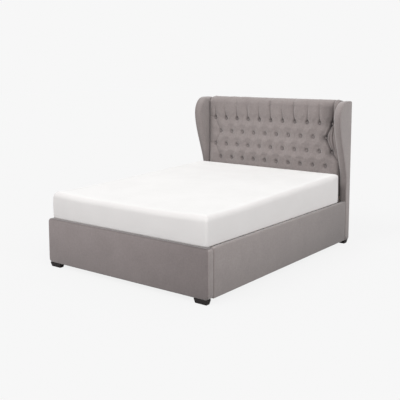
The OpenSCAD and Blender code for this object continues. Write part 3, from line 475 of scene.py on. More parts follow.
def ripple(points_mm, size_mm, height_mm, seed):
    """A smooth random height for each point, in millimetres."""
    start = Vector((seed * 7.3, seed * 3.1, seed * 5.7))
    return np.array([height_mm * noise.noise(Vector(p / size_mm) + start)
                     for p in np.asarray(points_mm).reshape(-1, 3)])


# %% [markdown]
# ## Footboard and side rails
#
# Each is a board with thin foam on both faces, wrapped in one piece of cloth and stapled
# underneath. The corners of the footboard are rounded when seen from the front. The rails
# butt against its back, and the seam between them is a dark line.
#
# Foam this thin, pulled tight over a flat board, has a plain form that rings give exactly,
# with a faint random waviness. A cloth simulation would add time and no shape.

# %% Footboard
# The radius of the padded edges, and how far the footboard's cloth wraps past its board
edge_roll, seam_shift = 11, 9
wobble_height = 0.5


def panel_seen_from_foot(name, node, edge, corner, crowns, cloth):
    """A padded panel that stands across the bed, crowned towards head and foot."""
    low, high = box_mm(node)
    width, depth, height = high - low
    rings = padded_rings(width, height, depth, edge, corner, crowns)
    start, end = from_back(node)
    a, b, h = np.moveaxis(rings, -1, 0)
    if node == "footboard_pad":
        # The cloth wraps round the rails' front ends too
        h = np.where(h < depth / 2, h - seam_shift, h)
    points = at((low[0] + high[0]) / 2 + a, start + h, (low[2] + high[2]) / 2 + b)
    wobble = ripple(points, 90, wobble_height, 1).reshape(h.shape)
    points[..., 1] -= wobble * np.where((h <= 0) | (h >= depth), np.sign(h + 1e-6), 0)
    piece = make_piece(name, points, cloth)
    if node == "footboard_pad":
        # The two ends are covered by strips of the rails' cloth
        piece.data.materials.append(rail_weave)
        for face in piece.data.polygons:
            face.material_index = int(abs(face.normal[0]) > 0.75)
    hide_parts(node)


panel_seen_from_foot("footboard_cover", "footboard_pad", edge=edge_roll, corner=30,
                     crowns=(1.0, 2.5), cloth=footboard_weave)
panel_seen_from_foot("lower_panel_cover", "headboard_lower_panel", edge=9, corner=11,
                     crowns=(0, 2.0), cloth=taupe_weave)


# %% Side rails
def inner_face(side, low, high):
    """The x of the inner face of a piece at one side of the bed, and the way outward."""
    return (low[0], 1) if side == "right" else (high[0], -1)


def rail_cover(side):
    node = "rail_pad_" + side
    low, high = box_mm(node)
    # It starts behind the footboard's cloth
    low[1] += seam_shift
    thickness, length, height = high - low
    rings = padded_rings(length, height, thickness, edge_roll, corner=12, crowns=(1.0, 2.0))
    a, b, h = np.moveaxis(rings, -1, 0)
    middle = (low + high) / 2
    inner_x, outward = inner_face(side, low, high)
    points = np.stack([inner_x + outward * h, middle[1] + a, middle[2] + b], axis=-1)
    wobble = ripple(points, 110, wobble_height, 2 + outward).reshape(h.shape)
    points[..., 0] += wobble * np.where(h >= thickness, outward, 0)
    piece = make_piece("rail_cover_" + side, points, rail_weave)
    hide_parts(node)


for side in ("left", "right"):
    rail_cover(side)

# %% [markdown]
# ## Wings
#
# A wing is a shaped board, boxed in foam. Its lower half is a plain upright. Above the
# mattress it sweeps forward to its widest, then curls back over the top. Cloth is cut as
# two side panels and one long boxing strip that runs over the front and top, and the seams
# between them show as fine grooves beside the rounded edges.
#
# The outline is straight lines and two cubic curves in side view. The rings step inwards
# along the outline's own normals, which keeps the boxing strip at an even width.

# %% Outline of a wing
wing_low, wing_high = box_mm("wing_pad_right")
# The filling stands a little over the board's top edge
wing_foot_z, wing_top_z = wing_low[2], wing_high[2] + 6
wing_back, wing_reach = from_back("wing_pad_right")
wing_depth_low = from_back("rail_pad_right")[0]
# Heights between which the front edge sweeps forward, the radius of the corners at the
# back, and how far from the back the top edge runs level
flare_start_z, flare_end_z = 560, 1135
wing_corner = 22
top_start = 100


def cubic(p0, p1, p2, p3, steps):
    """Points on a cubic curve, without its first."""
    t = np.linspace(0, 1, steps + 1)[1:, None]
    return ((1 - t) ** 3 * np.array(p0) + 3 * (1 - t) ** 2 * t * np.array(p1)
            + 3 * (1 - t) * t**2 * np.array(p2) + t**3 * np.array(p3))


def straight(p0, p1, spacing=30):
    """Points on a line, with both ends, about that far apart."""
    count = max(2, round(math.dist(p0, p1) / spacing) + 1)
    return np.linspace(p0, p1, count)


def wing_outline():
    rise, crest = flare_end_z - flare_start_z, wing_top_z - flare_end_z
    flare = cubic((wing_depth_low, flare_start_z),
                  (wing_depth_low, flare_start_z + 0.245 * rise),
                  (wing_reach, flare_end_z - 0.3 * rise), (wing_reach, flare_end_z), 26)
    crown = cubic((wing_reach, flare_end_z), (wing_reach, flare_end_z + 0.62 * crest),
                  (top_start + 70, wing_top_z), (top_start, wing_top_z), 22)
    return np.vstack([
        quarter((wing_back + wing_corner, wing_foot_z + wing_corner), wing_corner, 180, 270),
        straight((wing_back + 40, wing_foot_z), (wing_depth_low - 1, wing_foot_z), 12),
        straight((wing_depth_low, wing_foot_z + 1), (wing_depth_low, flare_start_z)),
        flare, crown,
        straight((top_start - 20, wing_top_z), (wing_back + wing_corner + 15, wing_top_z)),
        quarter((wing_back + wing_corner, wing_top_z - wing_corner), wing_corner, 90, 180),
        straight((wing_back, wing_top_z - wing_corner - 30),
                 (wing_back, wing_foot_z + wing_corner + 30), 60)])


def moved_in(path, distance):
    """A closed outline moved inwards, each point along the mean of its edges' normals."""
    before, after = path - np.roll(path, 1, axis=0), np.roll(path, -1, axis=0) - path
    normals = []
    for edge in (before, after):
        edge = edge / np.linalg.norm(edge, axis=1, keepdims=True)
        normals.append(np.column_stack([-edge[:, 1], edge[:, 0]]))
    total = normals[0] + normals[1]
    turn = 1 + np.sum(normals[0] * normals[1], axis=1, keepdims=True)
    return path + distance * total / turn


print("wing outline", len(wing_outline()), "points")

# %% Wing covers
# The foam's edge is soft and wide towards the bed, and tight outside, where a seam follows
inner_roll, outer_roll = 34, 9
seam_inset, seam_depth = 14.0, 2.0
# Where the edge's band starts in x and how wide it is, and where the flat face starts.
# The painted shade on the right wing's band also reaches below a height, over some way.
band_start, band_width, face_start = 754, 42, 798
shade_below, shade_way = 1210, 80


def wing_levels(thickness):
    """Inset and height of the rings: soft inner edge, tight outer edge, sewn seam, face."""
    rolls = near_roll(inner_roll, steps=9) + far_roll(outer_roll, thickness, steps=9)
    seam = [(seam_inset - 3, thickness + 0.4), (seam_inset - 1, thickness - 0.2),
            (seam_inset, thickness - seam_depth), (seam_inset + 1, thickness - 0.2),
            (seam_inset + 3, thickness + 0.4), (seam_inset + 14, thickness + 0.6)]
    return [(inner_roll + 8, 0.0)] + rolls + seam


def wing_cover(side):
    node = "wing_pad_" + side
    low, high = box_mm(node)
    thickness = high[0] - low[0]
    path = wing_outline()
    inner_x, outward = inner_face(side, low, high)
    rings = []
    # The back edge is stapled tight, so its corners take less of each inset
    share = np.clip((path[:, :1] - 20) / 50, 0.3, 1)
    for inset, h in wing_levels(thickness):
        flat = moved_in(path, inset * share)
        rings.append(at(inner_x + outward * h, flat[:, 0], flat[:, 1]))
    points = np.array(rings)
    # Painted shade: the band round the wing's edge darkens towards the seam along the outer
    # face, and on the right wing also below a height
    across, height = np.abs(points[..., 0]), points[..., 2]
    painted_band_shade = 0.2 * np.clip((across - band_start) / band_width, 0, 1) ** 1.5
    painted_band_shade += 0.1 * (side == "right") * np.clip((shade_below - height) / shade_way, 0, 1)
    painted_band_shade *= across < face_start
    piece = make_piece("wing_cover_" + side, points, wing_weave, painted_shade=painted_band_shade)
    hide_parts(node)


for side in ("left", "right"):
    wing_cover(side)

# %% [markdown]
# ## Tufted pad
#
# Deep foam covers the headboard between the wings. The upholsterer pulls buttons through
# it on twine, in four staggered rows, and tucks the spare cloth into folds: a short upright
# pleat above each button of the top row, faint diagonals between rows, and a deeper zigzag
# at the two ends, where the last diamonds run into the wings. Above the rows the foam rolls
# over the top of the board.
#
# A cloth simulation can make such a surface, but it doesn't put folds where the real ones
# are. So the surface is a fine grid that is pushed in by formulas: a dimple for each
# button, a groove for each fold. Buttons, folds and seams are then held, and a short
# simulation blows up the rest a little, which gives the diamonds between them the taut,
# full look of cloth over foam.

# %% Where the buttons are
button_pitch_x, button_pitch_z = 130.0, 130.7
button_top_row, button_rows = 1086.0, 4
pad_low, pad_high = box_mm("tufted_pad")
pad_half = pad_high[0]
button_columns = int((pad_half - 60) // button_pitch_x)


def row_of_buttons(row):
    """The x of each button in a row; odd rows sit half a pitch between the others."""
    odd = row % 2
    first = -button_columns * button_pitch_x + odd * button_pitch_x / 2
    return [first + k * button_pitch_x for k in range(2 * button_columns + 1 - odd)]


buttons = [(x, button_top_row - row * button_pitch_z, row)
           for row in range(button_rows) for x in row_of_buttons(row)]
print(len(buttons), "buttons")

# %% Depth of the tufting
# The side seams lie this far in front of the bed's back, and the face stands prouder
seam_level, crown = 73.0, 9.0
tuft_depth = 18.0
# Where the face starts to roll over the top, and how far the roll goes up and back
roll_start, roll_up, roll_in = 1238.0, 62.0, 49.6
dice = random.Random(11)
button_depth = [tuft_depth * dice.uniform(0.92, 1.06) for _ in buttons]
print("tufts", round(min(button_depth), 1), "to", round(max(button_depth), 1), "mm deep")


# %% Pits, creases and hollows round the buttons
def bell(distance, width, power=2.0):
    """A smooth bump, 1 at its middle."""
    return np.exp(-((np.abs(distance) / width) ** power))


def near_segment(x, v, start, end):
    """Distance from a segment, signed to its right, and the share of the way along it."""
    ax, az = start
    bx, bz = end
    length = math.hypot(bx - ax, bz - az)
    ux, uz = (bx - ax) / length, (bz - az) / length
    along = np.clip(((x - ax) * ux + (v - az) * uz) / length, 0, 1)
    dx, dz = x - ax - along * length * ux, v - az - along * length * uz
    distance = np.hypot(dx, dz)
    return distance * np.sign(dx * uz - dz * ux), along


def fold(x, v, start, end, depth, width, ease=0.12):
    """A tucked fold: a narrow groove with a low ridge beside it, fading at its ends."""
    d, along = near_segment(x, v, start, end)
    fade = np.clip(np.minimum(along, 1 - along) / ease + 0.35, 0, 1)
    return depth * fade * (bell(d, width, 1.6) - 0.35 * bell(d - 2.4 * width, 1.5 * width))


def dimples(x, v):
    """The pit round each button: a steep well in a wide, shallow bowl."""
    total = np.zeros_like(x)
    for (bx, bz, row), depth in zip(buttons, button_depth):
        r = np.hypot(x - bx, (v - bz - 1.5) * 0.95)
        well, bowl = bell(r, 19.0, 3.2), bell(r, 46, 1.5)
        total = np.maximum(total, depth * (0.76 * well + 0.24 * bowl))
    return total


def gathers(x, v):
    """Short creases that fan out from each button where the spare cloth is drawn in."""
    total = np.zeros_like(x)
    draw = random.Random(23).uniform
    for bx, bz, row in buttons:
        # Three creases above each button and two below, at an angle, with their sizes
        creases = []
        for lean in (-1, 0, 1):
            angle = 90 + 42 * lean + draw(-14, 14)
            creases.append((angle, draw(26, 44) * (0.75 if lean else 1), draw(3, 6), 4.2))
        for lean in (-1, 1):
            creases.append((-90 + 48 * lean + draw(-12, 12), 34, draw(1.5, 3), 4.5))
        for angle, length, depth, width in creases:
            ux, uz = math.cos(math.radians(angle)), math.sin(math.radians(angle))
            d, along = near_segment(x, v, (bx, bz), (bx + length * ux, bz + length * uz))
            total = np.maximum(total, depth * (1 - along) * bell(d, width))
    return total


def diagonals(x, v):
    """Faint hollows from each button to its neighbours in the next row."""
    total = np.zeros_like(x)
    for bx, bz, row in buttons:
        for side in (-1, 1):
            end = (bx + side * button_pitch_x / 2, bz - button_pitch_z)
            if row == button_rows - 1 or abs(end[0]) > pad_half - 60:
                continue
            d, along = near_segment(x, v, (bx, bz), end)
            total += 1.6 * bell(d, 20)
    return total


# %% Pleats over the top row, and folds at the two ends
# From left to right: how far up each pleat runs, as a share of the way over the roll, and
# how many mm it leans to the right
pleat_reach = (0.5, 0.5, 0.6, 0.65, 0.7, 0.98, 0.6, 0.98, 0.8, 0.9, 1.3)
pleat_lean = (2, -14, -3, -8, -5, -6, -9, -12, 4, -5, 8)
way_over_roll = 190


def pleats(x, v):
    """Upright folds that rise from the top row of buttons, wide at first, then thin."""
    total = np.zeros_like(x)
    up = np.maximum(v - button_top_row, 0)
    for bx, reach, lean in zip(row_of_buttons(0), pleat_reach, pleat_lean):
        last = bx > pad_half - 90
        fade = np.clip(1 - up / (reach * way_over_roll), 0, 1) ** 0.5 * (v > button_top_row)
        d = x - bx - lean * np.clip(up / 90, 0, 1)
        width = (8 if last else 4.2) + 6 * np.exp(-up / 20)
        depth = (14 if last else 10) + 6 * np.exp(-up / 24)
        total += fade * depth * (bell(d, width, 1.7) - 0.3 * bell(d - 2.3 * width, 1.5 * width))
    return total


def end_folds(x, v):
    """The zigzag down each end of the pad, deep on the right and soft on the left."""
    far, near = button_columns * button_pitch_x, (button_columns - 0.5) * button_pitch_x
    a, b, c, d = (button_top_row - k * button_pitch_z for k in range(button_rows))
    # Each fold's two ends, its depth and its width
    on_right = [((far, a), (near, b), 13, 6.5), ((near, b), (far, c), 13, 6.5),
                ((far - 12, a - 46), (far - 26, b - 14), 6, 5),
                ((far - 26, b - 14), (far + 12, c + 10), 6, 5),
                ((far + 14, a - 34), (far + 4, b + 6), 7, 5.5),
                ((far + 4, b + 6), (far + 24, c + 26), 7, 5.5),
                ((far, a), (far + 70, a + 26), 6, 6), ((far, c), (far + 60, c - 70), 9, 7)]
    on_left = [((-far, a), (-near, b), 4.5, 6), ((-near, b), (-far, c), 3.5, 6),
               ((-far, c), (-near, d), 4.5, 6), ((-far - 70, a + 20), (-far, a), 3, 6),
               ((-far - 70, c + 14), (-far, c), 3, 6)]
    return sum(fold(x, v, *ends) for ends in on_right) + sum(
        fold(x, v, *ends) for ends in on_left)


# %% [markdown]
# ## Painted shade in the tucks
#
# Deep between two folds of cloth hardly any light gets back out. The grid is too coarse to
# close its folds like that, so a value at each point paints shade there, and the cloth's
# material darkens by it. The same value paints shade into the seams and beside the right
# wing, and below nought a highlight where the cloth puffs out.

# %% Painted shade and highlight on the tufted cloth
# How strong the painted shade round the buttons of each row is, and round the last ones
row_shade, last_shade = (1.0, 0.6, 0.6, 0.9), 1.25


def button_shade(bx, row):
    """How strong the painted shade at a button is: the last button of each upper row gets the
    most, where the spare cloth gathers.
    """
    return last_shade if bx > pad_half - 150 and row < 3 else row_shade[row]


def painted_shade_amount(x, v):
    """Painted light on the tufted cloth: up to 1, a painted shade, beside a button and in folds
    and seams, 0 on the open diamonds, and below 0 a painted highlight where it puffs out."""
    total = np.zeros_like(x)
    for bx, bz, row in buttons:
        shade = button_shade(bx, row)
        pit = bell(np.hypot(x - bx, (v - bz + 3) * 0.9), 16, 3)
        total = np.maximum(total, shade * 0.7 * pit)
        if shade == last_shade:
            # Painted shade: the folds of the zigzag meet here, so it is painted dark for some
            # way round the pit
            meeting = bell(np.hypot(x - bx + (8 if row else -6), v - bz + 2), 36)
            total = np.maximum(total, 0.6 * meeting)
        else:
            # Painted highlight: below a button the cloth puffs forward, most of all in the top
            # row, and is painted lighter there
            puff = bell(np.hypot(x - bx + 5, (v - bz + 30) * 2.8), 27, 3)
            total -= (0.5 if row == 0 else 0.08) * puff * (total < 0.3)
    # Painted shade in the gathers, pleats and end folds
    total += np.clip(gathers(x, v) / 14, 0, 0.3) * (total < 0.5)
    total += np.clip(pleats(x, v) / 22, 0, 0.6) + np.clip(end_folds(x, v) / 18, 0, 0.7)
    # Painted shade at the right end, where the spare cloth turns down into the seam beside the
    # wing and lies in its shadow
    last_fold = button_columns * button_pitch_x
    turned = np.clip((x - last_fold + 110) / 110, 0, 1) ** 0.8 * (x < last_fold + 4)
    above = np.clip((v - button_top_row + 76) / 60, 0, 1) * np.clip((1290 - v) / 60, 0, 1)
    beside = np.clip((x - pad_half + 95) / 60, 0, 1) * (v > button_top_row - 2 * button_pitch_z)
    total += 0.46 * turned * above + 0.2 * beside * (1 - above)
    # Painted shade in the side seams beside the wings
    right_seam = np.clip(1 - (pad_half - x) / 34, 0, 1) ** 1.3
    left_seam = np.clip(1 - (pad_half + x) / 11, 0, 1)
    total += 0.85 * right_seam + left_seam
    return np.clip(total, -0.6, 1)


# %% Height of the cover
# At its two ends the cover turns in to the side seams, and a tuck is never deeper than this
edge_width, edge_depth = 10.0, 20.0
deepest_tuck = 19


def pad_rise(x, v):
    """How far the cloth stands in front of the pad's side seams, at x and up the face v."""
    from_end = pad_half - np.abs(x)
    from_seam = np.clip(from_end / 45, 0, 1)
    low_band = button_top_row - (button_rows - 0.5) * button_pitch_z
    plain = np.clip((v - low_band + 60) / 60, 0.35, 1)
    rise = crown * np.minimum(from_seam**0.5, plain)
    tucked = np.maximum(dimples(x, v), gathers(x, v))
    tucked += diagonals(x, v) + pleats(x, v) + end_folds(x, v)
    rise -= np.minimum(tucked, deepest_tuck) * np.minimum(1, from_seam + 0.35)
    turn_in = np.clip(from_end / edge_width, 0, 1)
    return rise - edge_depth * (1 - np.sqrt(1 - (1 - turn_in) ** 2))


# %% Grid of the pad
def spaced(start, end, coarse, fine, near, reach):
    """Positions from start to end, closer together within reach of the places in near."""
    places = [start]
    while places[-1] < end:
        close = min(abs(places[-1] - place) for place in near) < reach
        places.append(places[-1] + (fine if close else coarse))
    places[-1] = end
    return np.array(places)


def pad_section():
    """Base line of the pad, bottom to top and down its back: from_back, z, face share, v."""
    foot = pad_low[2]
    heights = [button_top_row - k * button_pitch_z for k in range(button_rows)]
    rows = [(seam_level, z, (1.0, 0.0), z)
            for z in spaced(foot, roll_start - 4, 5.5, 2.8, heights, 24)]
    top_u, top_z = seam_level - roll_in, roll_start + roll_up - crown
    # Over the roll, then down its rounded back edge
    roll_length, steps = roll_up * 1.4, 22
    for i in range(steps + 1):
        a = math.pi / 2 * i / steps
        rows.append((seam_level - roll_in * (1 - math.cos(a)),
                     roll_start + (roll_up - crown) * math.sin(a),
                     (math.cos(a), math.sin(a)), roll_start + roll_length * i / steps))
    steps = 8
    for i in range(1, steps + 1):
        a = math.pi / 2 * i / steps
        rows.append((top_u - (top_u - 4.0) * math.sin(a), top_z - 14 * (1 - math.cos(a)),
                     (0.0, math.cos(a)), roll_start + roll_length + 20 * i / steps))
    # The back of the cover lies on the board with a little play
    over_board = box_mm("headboard_board")[1][2] + 0.8
    before_board = from_back("headboard_board")[1] + 0.4
    for u, z in ((4.0, over_board + 5.2), (4.0, over_board), (before_board, over_board),
                 (before_board, foot)):
        rows.append((u, z, (0.0, 0.0), roll_start + 400))
    return rows


# %% Cloth simulation
def let_swell(piece, held, pressure, slack, cap_mm, frames=9):
    """Cloth simulation: the cover swells where it isn't held, by no more than cap_mm, and
    keeps that form. The slack is how much larger than its mesh the cloth was cut."""
    mesh, scene = piece.data, bpy.context.scene
    start = np.empty(len(mesh.vertices) * 3)
    mesh.vertices.foreach_get("co", start)
    group = piece.vertex_groups.new(name="held")
    tenths = np.round(np.ravel(held) * 10).astype(int)
    for level in range(1, 11):
        group.add(np.flatnonzero(tenths == level).tolist(), level / 10, "REPLACE")
    swelling = piece.modifiers.new("swelling", "CLOTH")
    for setting, value in {
            "quality": 2, "mass": 0.001, "air_damping": 2.0, "vertex_group_mass": "held",
            "pin_stiffness": 2.0, "tension_stiffness": 6.0, "compression_stiffness": 6.0,
            "shear_stiffness": 2.0, "bending_stiffness": 0.02, "use_pressure": True,
            "uniform_pressure_force": pressure, "shrink_min": -slack}.items():
        setattr(swelling.settings, setting, value)
    swelling.settings.effector_weights.gravity = 0
    swelling.collision_settings.use_collision = False
    swelling.point_cache.frame_start = 1
    swelling.point_cache.frame_end = frames
    for step in range(1, frames + 1):
        scene.frame_set(step)
    swollen = piece.evaluated_get(bpy.context.evaluated_depsgraph_get())
    move = np.empty_like(start)
    swollen.data.vertices.foreach_get("co", move)
    move = (move - start).reshape(-1, 3)
    length = np.linalg.norm(move, axis=1, keepdims=True)
    move *= np.minimum(1, cap_mm * MM / np.maximum(length, 1e-9))
    piece.modifiers.remove(swelling)
    piece.vertex_groups.remove(group)
    mesh.vertices.foreach_set("co", start + move.ravel())
    mesh.update()
    scene.frame_set(1)
    print(piece.name, "would swell by up to", round(float(length.max()) / MM, 1),
          "mm, and is stopped at", cap_mm, "mm")


# %% Tufted pad
def tufted_pad():
    # Columns lie closer at the buttons, and crowd together where the cloth turns in
    near_seam = pad_half - np.array([0, 0.15, 0.5, 1.2, 2.4, 4, 6, 8.5, 11.5, 15])
    inner = spaced(0, pad_half - 18, 5.0, 2.6, [65 * k for k in range(11)], 16)
    right = np.concatenate([inner, near_seam[::-1]])
    columns = np.concatenate([-right[:0:-1], right])
    section = pad_section()
    u, z, face, v = (np.array([row[k] for row in section]) for k in range(4))
    x_grid, v_grid = np.meshgrid(columns, v, indexing="ij")
    rise = pad_rise(x_grid, v_grid)
    # The roll over the top drops a little towards its two ends
    end_drop = 5 * (1 - np.clip((pad_half - np.abs(x_grid)) / 45, 0, 1))
    rise = rise - end_drop * face[:, 1]
    points = at(x_grid, u + rise * face[:, 0], z + rise * face[:, 1])
    rough = ripple(points, 55, 0.9, 5).reshape(x_grid.shape)
    points[..., 1] -= rough * face[:, 0]
    points[..., 2] += rough * face[:, 1]
    piece = make_piece("tufted_pad_cover", points, tufted_weave,
                       painted_shade=painted_shade_amount(x_grid, v_grid))
    folded = (pleats(x_grid, v_grid) + end_folds(x_grid, v_grid)) / 6
    held = np.clip(np.maximum(dimples(x_grid, v_grid) / 9, folded), 0, 1)
    on_back = (face.sum(axis=1) == 0) | (z < z.min() + 4)
    held = np.where(on_back[None, :] | (np.abs(x_grid) > pad_half - 9), 1.0, held)
    let_swell(piece, held, pressure=9.0, slack=0.02, cap_mm=7)
    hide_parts("tufted_pad")


tufted_pad()

# %% [markdown]
# ## Covered buttons
#
# A covered button is a domed steel shell with a disc of the same cloth crimped round it.
# It is flatter than half a ball, and its rim curls under. The profile of one is turned
# round its axis, and 42 copies are joined as one piece.

# %% Covered buttons
button_face = from_back("tuft_buttons")[1]
button_profile = [(0.0, 0.0), (4.6, -0.35), (7.9, -1.1), (10.2, -2.3), (11.3, -3.9),
                  (11.5, -5.2), (10.6, -6.6), (8.0, -7.4), (0.0, -7.6)]


def covered_buttons():
    around, rings = 20, len(button_profile) - 2
    angles = [2 * math.pi * k / around for k in range(around)]
    points, faces, shades = [], [], []
    for (bx, bz, row), depth in zip(buttons, button_depth):
        # Painted shade: a button's upper half lies in the shadow of the cloth that bulges over
        # it, so it is painted darker
        shade = button_shade(bx, row)
        round_ring = [shade * (0.36 + 0.24 * math.sin(a)) for a in angles]
        shades += [0.3 * shade] + round_ring * rings + [0.5]
        tilt = dice.uniform(-0.05, 0.05)
        start = len(points)
        face_u = button_face - 3.5 - (depth - tuft_depth) * 0.5
        points.append((bx, face_u, bz))
        for radius, h in button_profile[1:-1]:
            for a in angles:
                gather = 1 + 0.012 * math.cos(5 * a) if radius > 11 else 1
                px, pz = radius * gather * math.cos(a), radius * gather * math.sin(a)
                points.append((bx + px, face_u + h + tilt * pz, bz + pz))
        points.append((bx, face_u + button_profile[-1][1], bz))
        faces += quads(rings, around, start + 1)
        last = start + 1 + rings * around
        for k in range(around):
            m = (k + 1) % around
            faces.append((start, start + 1 + m, start + 1 + k))
            faces.append((last, last - around + k, last - around + m))
    piece = make_piece("covered_buttons", at(*np.transpose(points)), tufted_weave, faces,
                       painted_shade=shades)
    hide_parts("tuft_buttons")


covered_buttons()

# %% [markdown]
# ## Back of the headboard
#
# The back is closed by a card with the same cloth drawn over it and a corded edge, tacked
# on last. The cord is a thin tube round the card's outline.

# %% Back card with its corded edge
def back_card():
    low, high = box_mm("headboard_back_cover")
    width, thickness, height = high - low
    rings = padded_rings(width, height, thickness, edge=1.4, corner=14, crowns=(0.8, 0))
    a, b, h = np.moveaxis(rings, -1, 0)
    points = at(a, h, (low[2] + high[2]) / 2 + b)
    card = make_piece("back_card_cover", points, taupe_weave)
    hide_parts("headboard_back_cover")
    path = outline(width - 5, height - 5, corner=12, counts=(30, 24))
    ahead = np.roll(path, -1, axis=0) - np.roll(path, 1, axis=0)
    ahead /= np.linalg.norm(ahead, axis=1, keepdims=True)
    side = np.column_stack([ahead[:, 1], -ahead[:, 0]])
    radius, around, depth = 2.6, 8, 0.6
    cord = []
    for p, s in zip(path, side):
        for k in range(around):
            t = 2 * math.pi * k / around
            x, z = p + s * radius * math.cos(t)
            cord.append((x, depth + radius * math.sin(t), (low[2] + high[2]) / 2 + z))
    make_piece("back_card_cord", at(*np.transpose(cord)), taupe_weave,
               quads(len(path), around, closed=True))


back_card()

# %% [markdown]
# ## Mattress
#
# Foam in a knitted cover: its edges are round, its sides swell a little between the seams,
# and the top stands a few millimetres proud in the middle. It grows thicker towards the head
# end, as in the photograph. Its top edge is soft and wide, less so at the head, and the two
# corners at the foot, where the cover's seams meet, stand up a little. Where it lies over
# the rails and the footboard it sags onto them, which closes the gap to a thin dark line.
#
# It is a stack of rings too, as a simulation would hardly change a mattress this tight.

# %% Rings of the mattress
# Radii of its top edge, its bottom edge and its upright corners
top_roll, low_roll, mattress_corner = 46, 10, 24
# How far the corners at the foot stand up, and how far round them that reaches
corner_lift, corner_reach = 15, 230
# How far its top stands proud and its sides swell, and how far its rim sags underneath
mattress_crown, mattress_bow, sag = 5, 2, 2.4
thickness_at_foot, thicker_at_head = 205, 58
mattress_body = thickness_at_foot - mattress_crown


def mattress_levels():
    """Inset and height of each ring, from the middle of the underside to that of the top."""
    levels = [(inset, 0.0) for inset in (400, 200, 90, 60, 44, 30)]
    levels += near_roll(low_roll, steps=10, inset=mattress_bow)
    for share in np.linspace(0, 1, 9)[1:-1]:
        swell = mattress_bow * (1 - (2 * share - 1) ** 2)
        levels.append((mattress_bow - swell,
                       low_roll + share * (mattress_body - low_roll - top_roll)))
    levels += far_roll(top_roll, mattress_body, steps=10, inset=mattress_bow)
    for inset in (60, 90, 150, 240, 350, 480, 620, 735):
        share = 1 - (1 - min(1, inset / 620)) ** 2
        levels.append((inset, mattress_body + mattress_crown * share))
    return levels


def mattress_ring(width, length, inset, h):
    """One ring of the mattress about its middle, that far in and up from its underside."""
    flat = outline(width - 2 * (mattress_bow + inset), length - 2 * (mattress_bow + inset),
                   max(mattress_corner - inset / 2, 6), counts=(26, 34))
    # The sides bow outwards between the corners
    span = np.array([width, length]) / 2
    bow = mattress_bow if inset < 100 else 0
    away = np.sign(flat) * bow * (1 - (flat[:, ::-1] / span[::-1]) ** 2)
    flat = flat + away * (np.abs(flat) > span - inset - mattress_bow - mattress_corner)
    # The head end's top edge is rolled less than the others
    near_head = np.clip((flat[:, 1] - length / 2 + 150) / 120, 0, 1)
    in_roll = h > mattress_body - top_roll - 1
    raised = h + 0.6 * near_head * max(mattress_body - h, 0) * in_roll
    thicker = 1 + thicker_at_head / mattress_body * (0.5 + flat[:, 1] / length)
    drop = sag * np.clip((60 - inset) / 16, 0, 1) * np.clip(1 - h / low_roll, 0, 1)
    # At the foot end the cover is drawn over the corners, which stand up a little
    to_corner = np.hypot(np.abs(flat[:, 0]) - width / 2, flat[:, 1] + length / 2)
    lift = corner_lift * bell(to_corner, corner_reach) * h / thickness_at_foot
    return np.column_stack([flat, raised * thicker - drop + lift])


# %% Mattress
def mattress():
    low, high = box_mm("mattress")
    width, length = (high - low)[:2]
    levels = mattress_levels()
    rings = np.array([mattress_ring(width, length, inset, h) for inset, h in levels])
    points = rings + [(low[0] + high[0]) / 2, (low[1] + high[1]) / 2, low[2]]
    # A soft unevenness, outwards on the sides and upwards on the top
    out = rings * (1, 1, 0)
    out /= np.maximum(np.linalg.norm(out, axis=-1, keepdims=True), 1e-6)
    soft = ripple(points, 170, 1.6, 9).reshape(points.shape[:2])
    level = np.array([h for inset, h in levels])[:, None]
    on_side = (level > 12) & (level < thickness_at_foot - 30)
    points += out * (soft * on_side)[..., None]
    points[..., 2] += np.minimum(soft, 0.5) * (level > thickness_at_foot - 8)
    piece = make_piece("mattress_cover", points, white_knit,
                       body="platform")
    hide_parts("mattress")


mattress()

# %% [markdown]
# ## Finish of the working parts
#
# What stays as packed gets its material here. Sawn edges of timber are never razor sharp,
# so timber parts also get a narrow bevel.

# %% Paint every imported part
# A name that ends in _* stands for a left part and a right part
finishes = {
    pine_upright: "headboard_posts wing_board_*",
    pine_across: "headboard_cross_rails headboard_board footboard_board floor_end_battens "
                 "platform_rests",
    pine_along: "rail_board_* floor_batten_* centre_rail",
    hardboard: "storage_floor_*",
    birch: "slats_*",
    grey_powder_coat: "corner_brackets base_plate_* main_arm_* control_link_* arm_bracket_* "
                      "link_bracket_* side_tube_* cross_tubes centre_beam",
    black_enamel: "strut_cylinder_*",
    zinc: "corner_bolts plate_screws fixed_pins arm_pins link_pins strut_rod_* "
          "mattress_stops",
    black_plastic: "foot_front_* foot_rear_* centre_glides slat_holders",
    black_webbing: "pull_strap",
    taupe_weave: "headboard_lower_panel headboard_back_cover",
    wing_weave: "wing_pad_*",
    tufted_weave: "tufted_pad tuft_buttons",
    rail_weave: "rail_pad_*",
    footboard_weave: "footboard_pad",
    white_knit: "mattress",
}
timber = (pine_upright, pine_across, pine_along, hardboard)
painted = {name.replace("*", side): material for material, names in finishes.items()
           for name in names.split() for side in ("left", "right")}
for name, material in painted.items():
    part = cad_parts[name]
    part.data.materials.clear()
    part.data.materials.append(material)
    if material in timber:
        edge = part.modifiers.new("eased_edges", "BEVEL")
        edge.width = 1.2 * MM
        edge.segments = 2
        edge.limit_method = "ANGLE"
        edge.angle_limit = math.radians(50)
print(len(painted), "of", len(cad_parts), "packed parts painted")

# %% [markdown]
# ## Studio
#
# A pale floor, an even sky and two broad, soft lamps, one high in front and one lower from
# the right, give the flat light of a catalogue picture. The sky's level lights the bed;
# what the camera and mirrors see of it is a separate pale colour, chosen with Light Path.

# %% Floor
backdrop_colour = "f7f7f7"
# The camera sees a pale floor, and the bed is lit by a darker one
floor_seen, floor_felt = "e3e3e3", "a6a6a6"

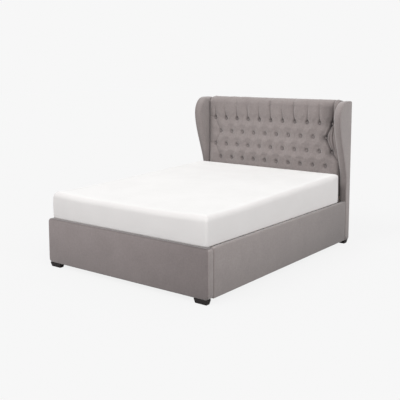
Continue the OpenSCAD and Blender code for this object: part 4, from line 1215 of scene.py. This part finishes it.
floor_mesh = bpy.data.meshes.new("floor")
reach_m = 30.0
corners = [(x * reach_m, y * reach_m, 0) for x, y in ((-1, -1), (1, -1), (1, 1), (-1, 1))]
floor_mesh.from_pydata(corners, [], [(0, 1, 2, 3)])
floor = bpy.data.objects.new("floor", floor_mesh)
bpy.context.scene.collection.objects.link(floor)
floor_paint, tree = new_material("floor_paint")
in_camera = add_node(tree, "LightPath").outputs["Is Camera Ray"]
tone = add_node(tree, "MixRGB", {0: in_camera, 1: floor_felt, 2: floor_seen})
matt = add_node(tree, "BsdfPrincipled", {"Base Color": tone, "Roughness": 1.0,
                                         "Specular IOR Level": 0.0})
# For the camera the floor is mostly a lit backdrop, which leaves the shadow faint
glow = add_node(tree, "Emission", {"Color": backdrop_colour, "Strength": 1.0})
share = add_node(tree, "Math", {0: in_camera, 1: 0.92}, operation="MULTIPLY")
blend = add_node(tree, "MixShader", {0: share, 1: matt, 2: glow})
add_node(tree, "OutputMaterial", {"Surface": blend})
floor_mesh.materials.append(floor_paint)
print("floor", 2 * reach_m, "m wide")

# %% Sky
sky_level = 0.78
world = bpy.data.worlds.new("studio")
bpy.context.scene.world = world
world.use_nodes = True
tree = world.node_tree
tree.nodes.clear()
sky = add_node(tree, "Background", {"Color": "ffffff", "Strength": sky_level})
shown = add_node(tree, "Background", {"Color": backdrop_colour, "Strength": 1.0})
rays = add_node(tree, "LightPath")
seen = rays.outputs["Is Camera Ray"]
for kind in ("Is Glossy Ray", "Is Transmission Ray"):
    seen = add_node(tree, "Math", {0: seen, 1: rays.outputs[kind]}, operation="ADD",
                    use_clamp=True)
add_node(tree, "OutputWorld", {
    "Surface": add_node(tree, "MixShader", {0: seen, 1: sky, 2: shown})})
print("sky", sky_level)


# %% Lamps
def soft_sun(name, level, height, turn, spread):
    """A sun lamp: light on a surface that faces it, its height and turn from the foot end."""
    data = bpy.data.lights.new(name, "SUN")
    data.energy = level * math.pi
    data.angle = math.radians(spread)
    lamp = bpy.data.objects.new(name, data)
    lamp.rotation_euler = (math.radians(90 - height), 0, math.radians(turn))
    bpy.context.scene.collection.objects.link(lamp)
    print("lamp", name, level)


soft_sun("key_lamp", level=0.38, height=45, turn=-20, spread=25)
soft_sun("fill_lamp", level=0.33, height=30, turn=75, spread=45)
bpy.context.scene.view_settings.view_transform = "Standard"
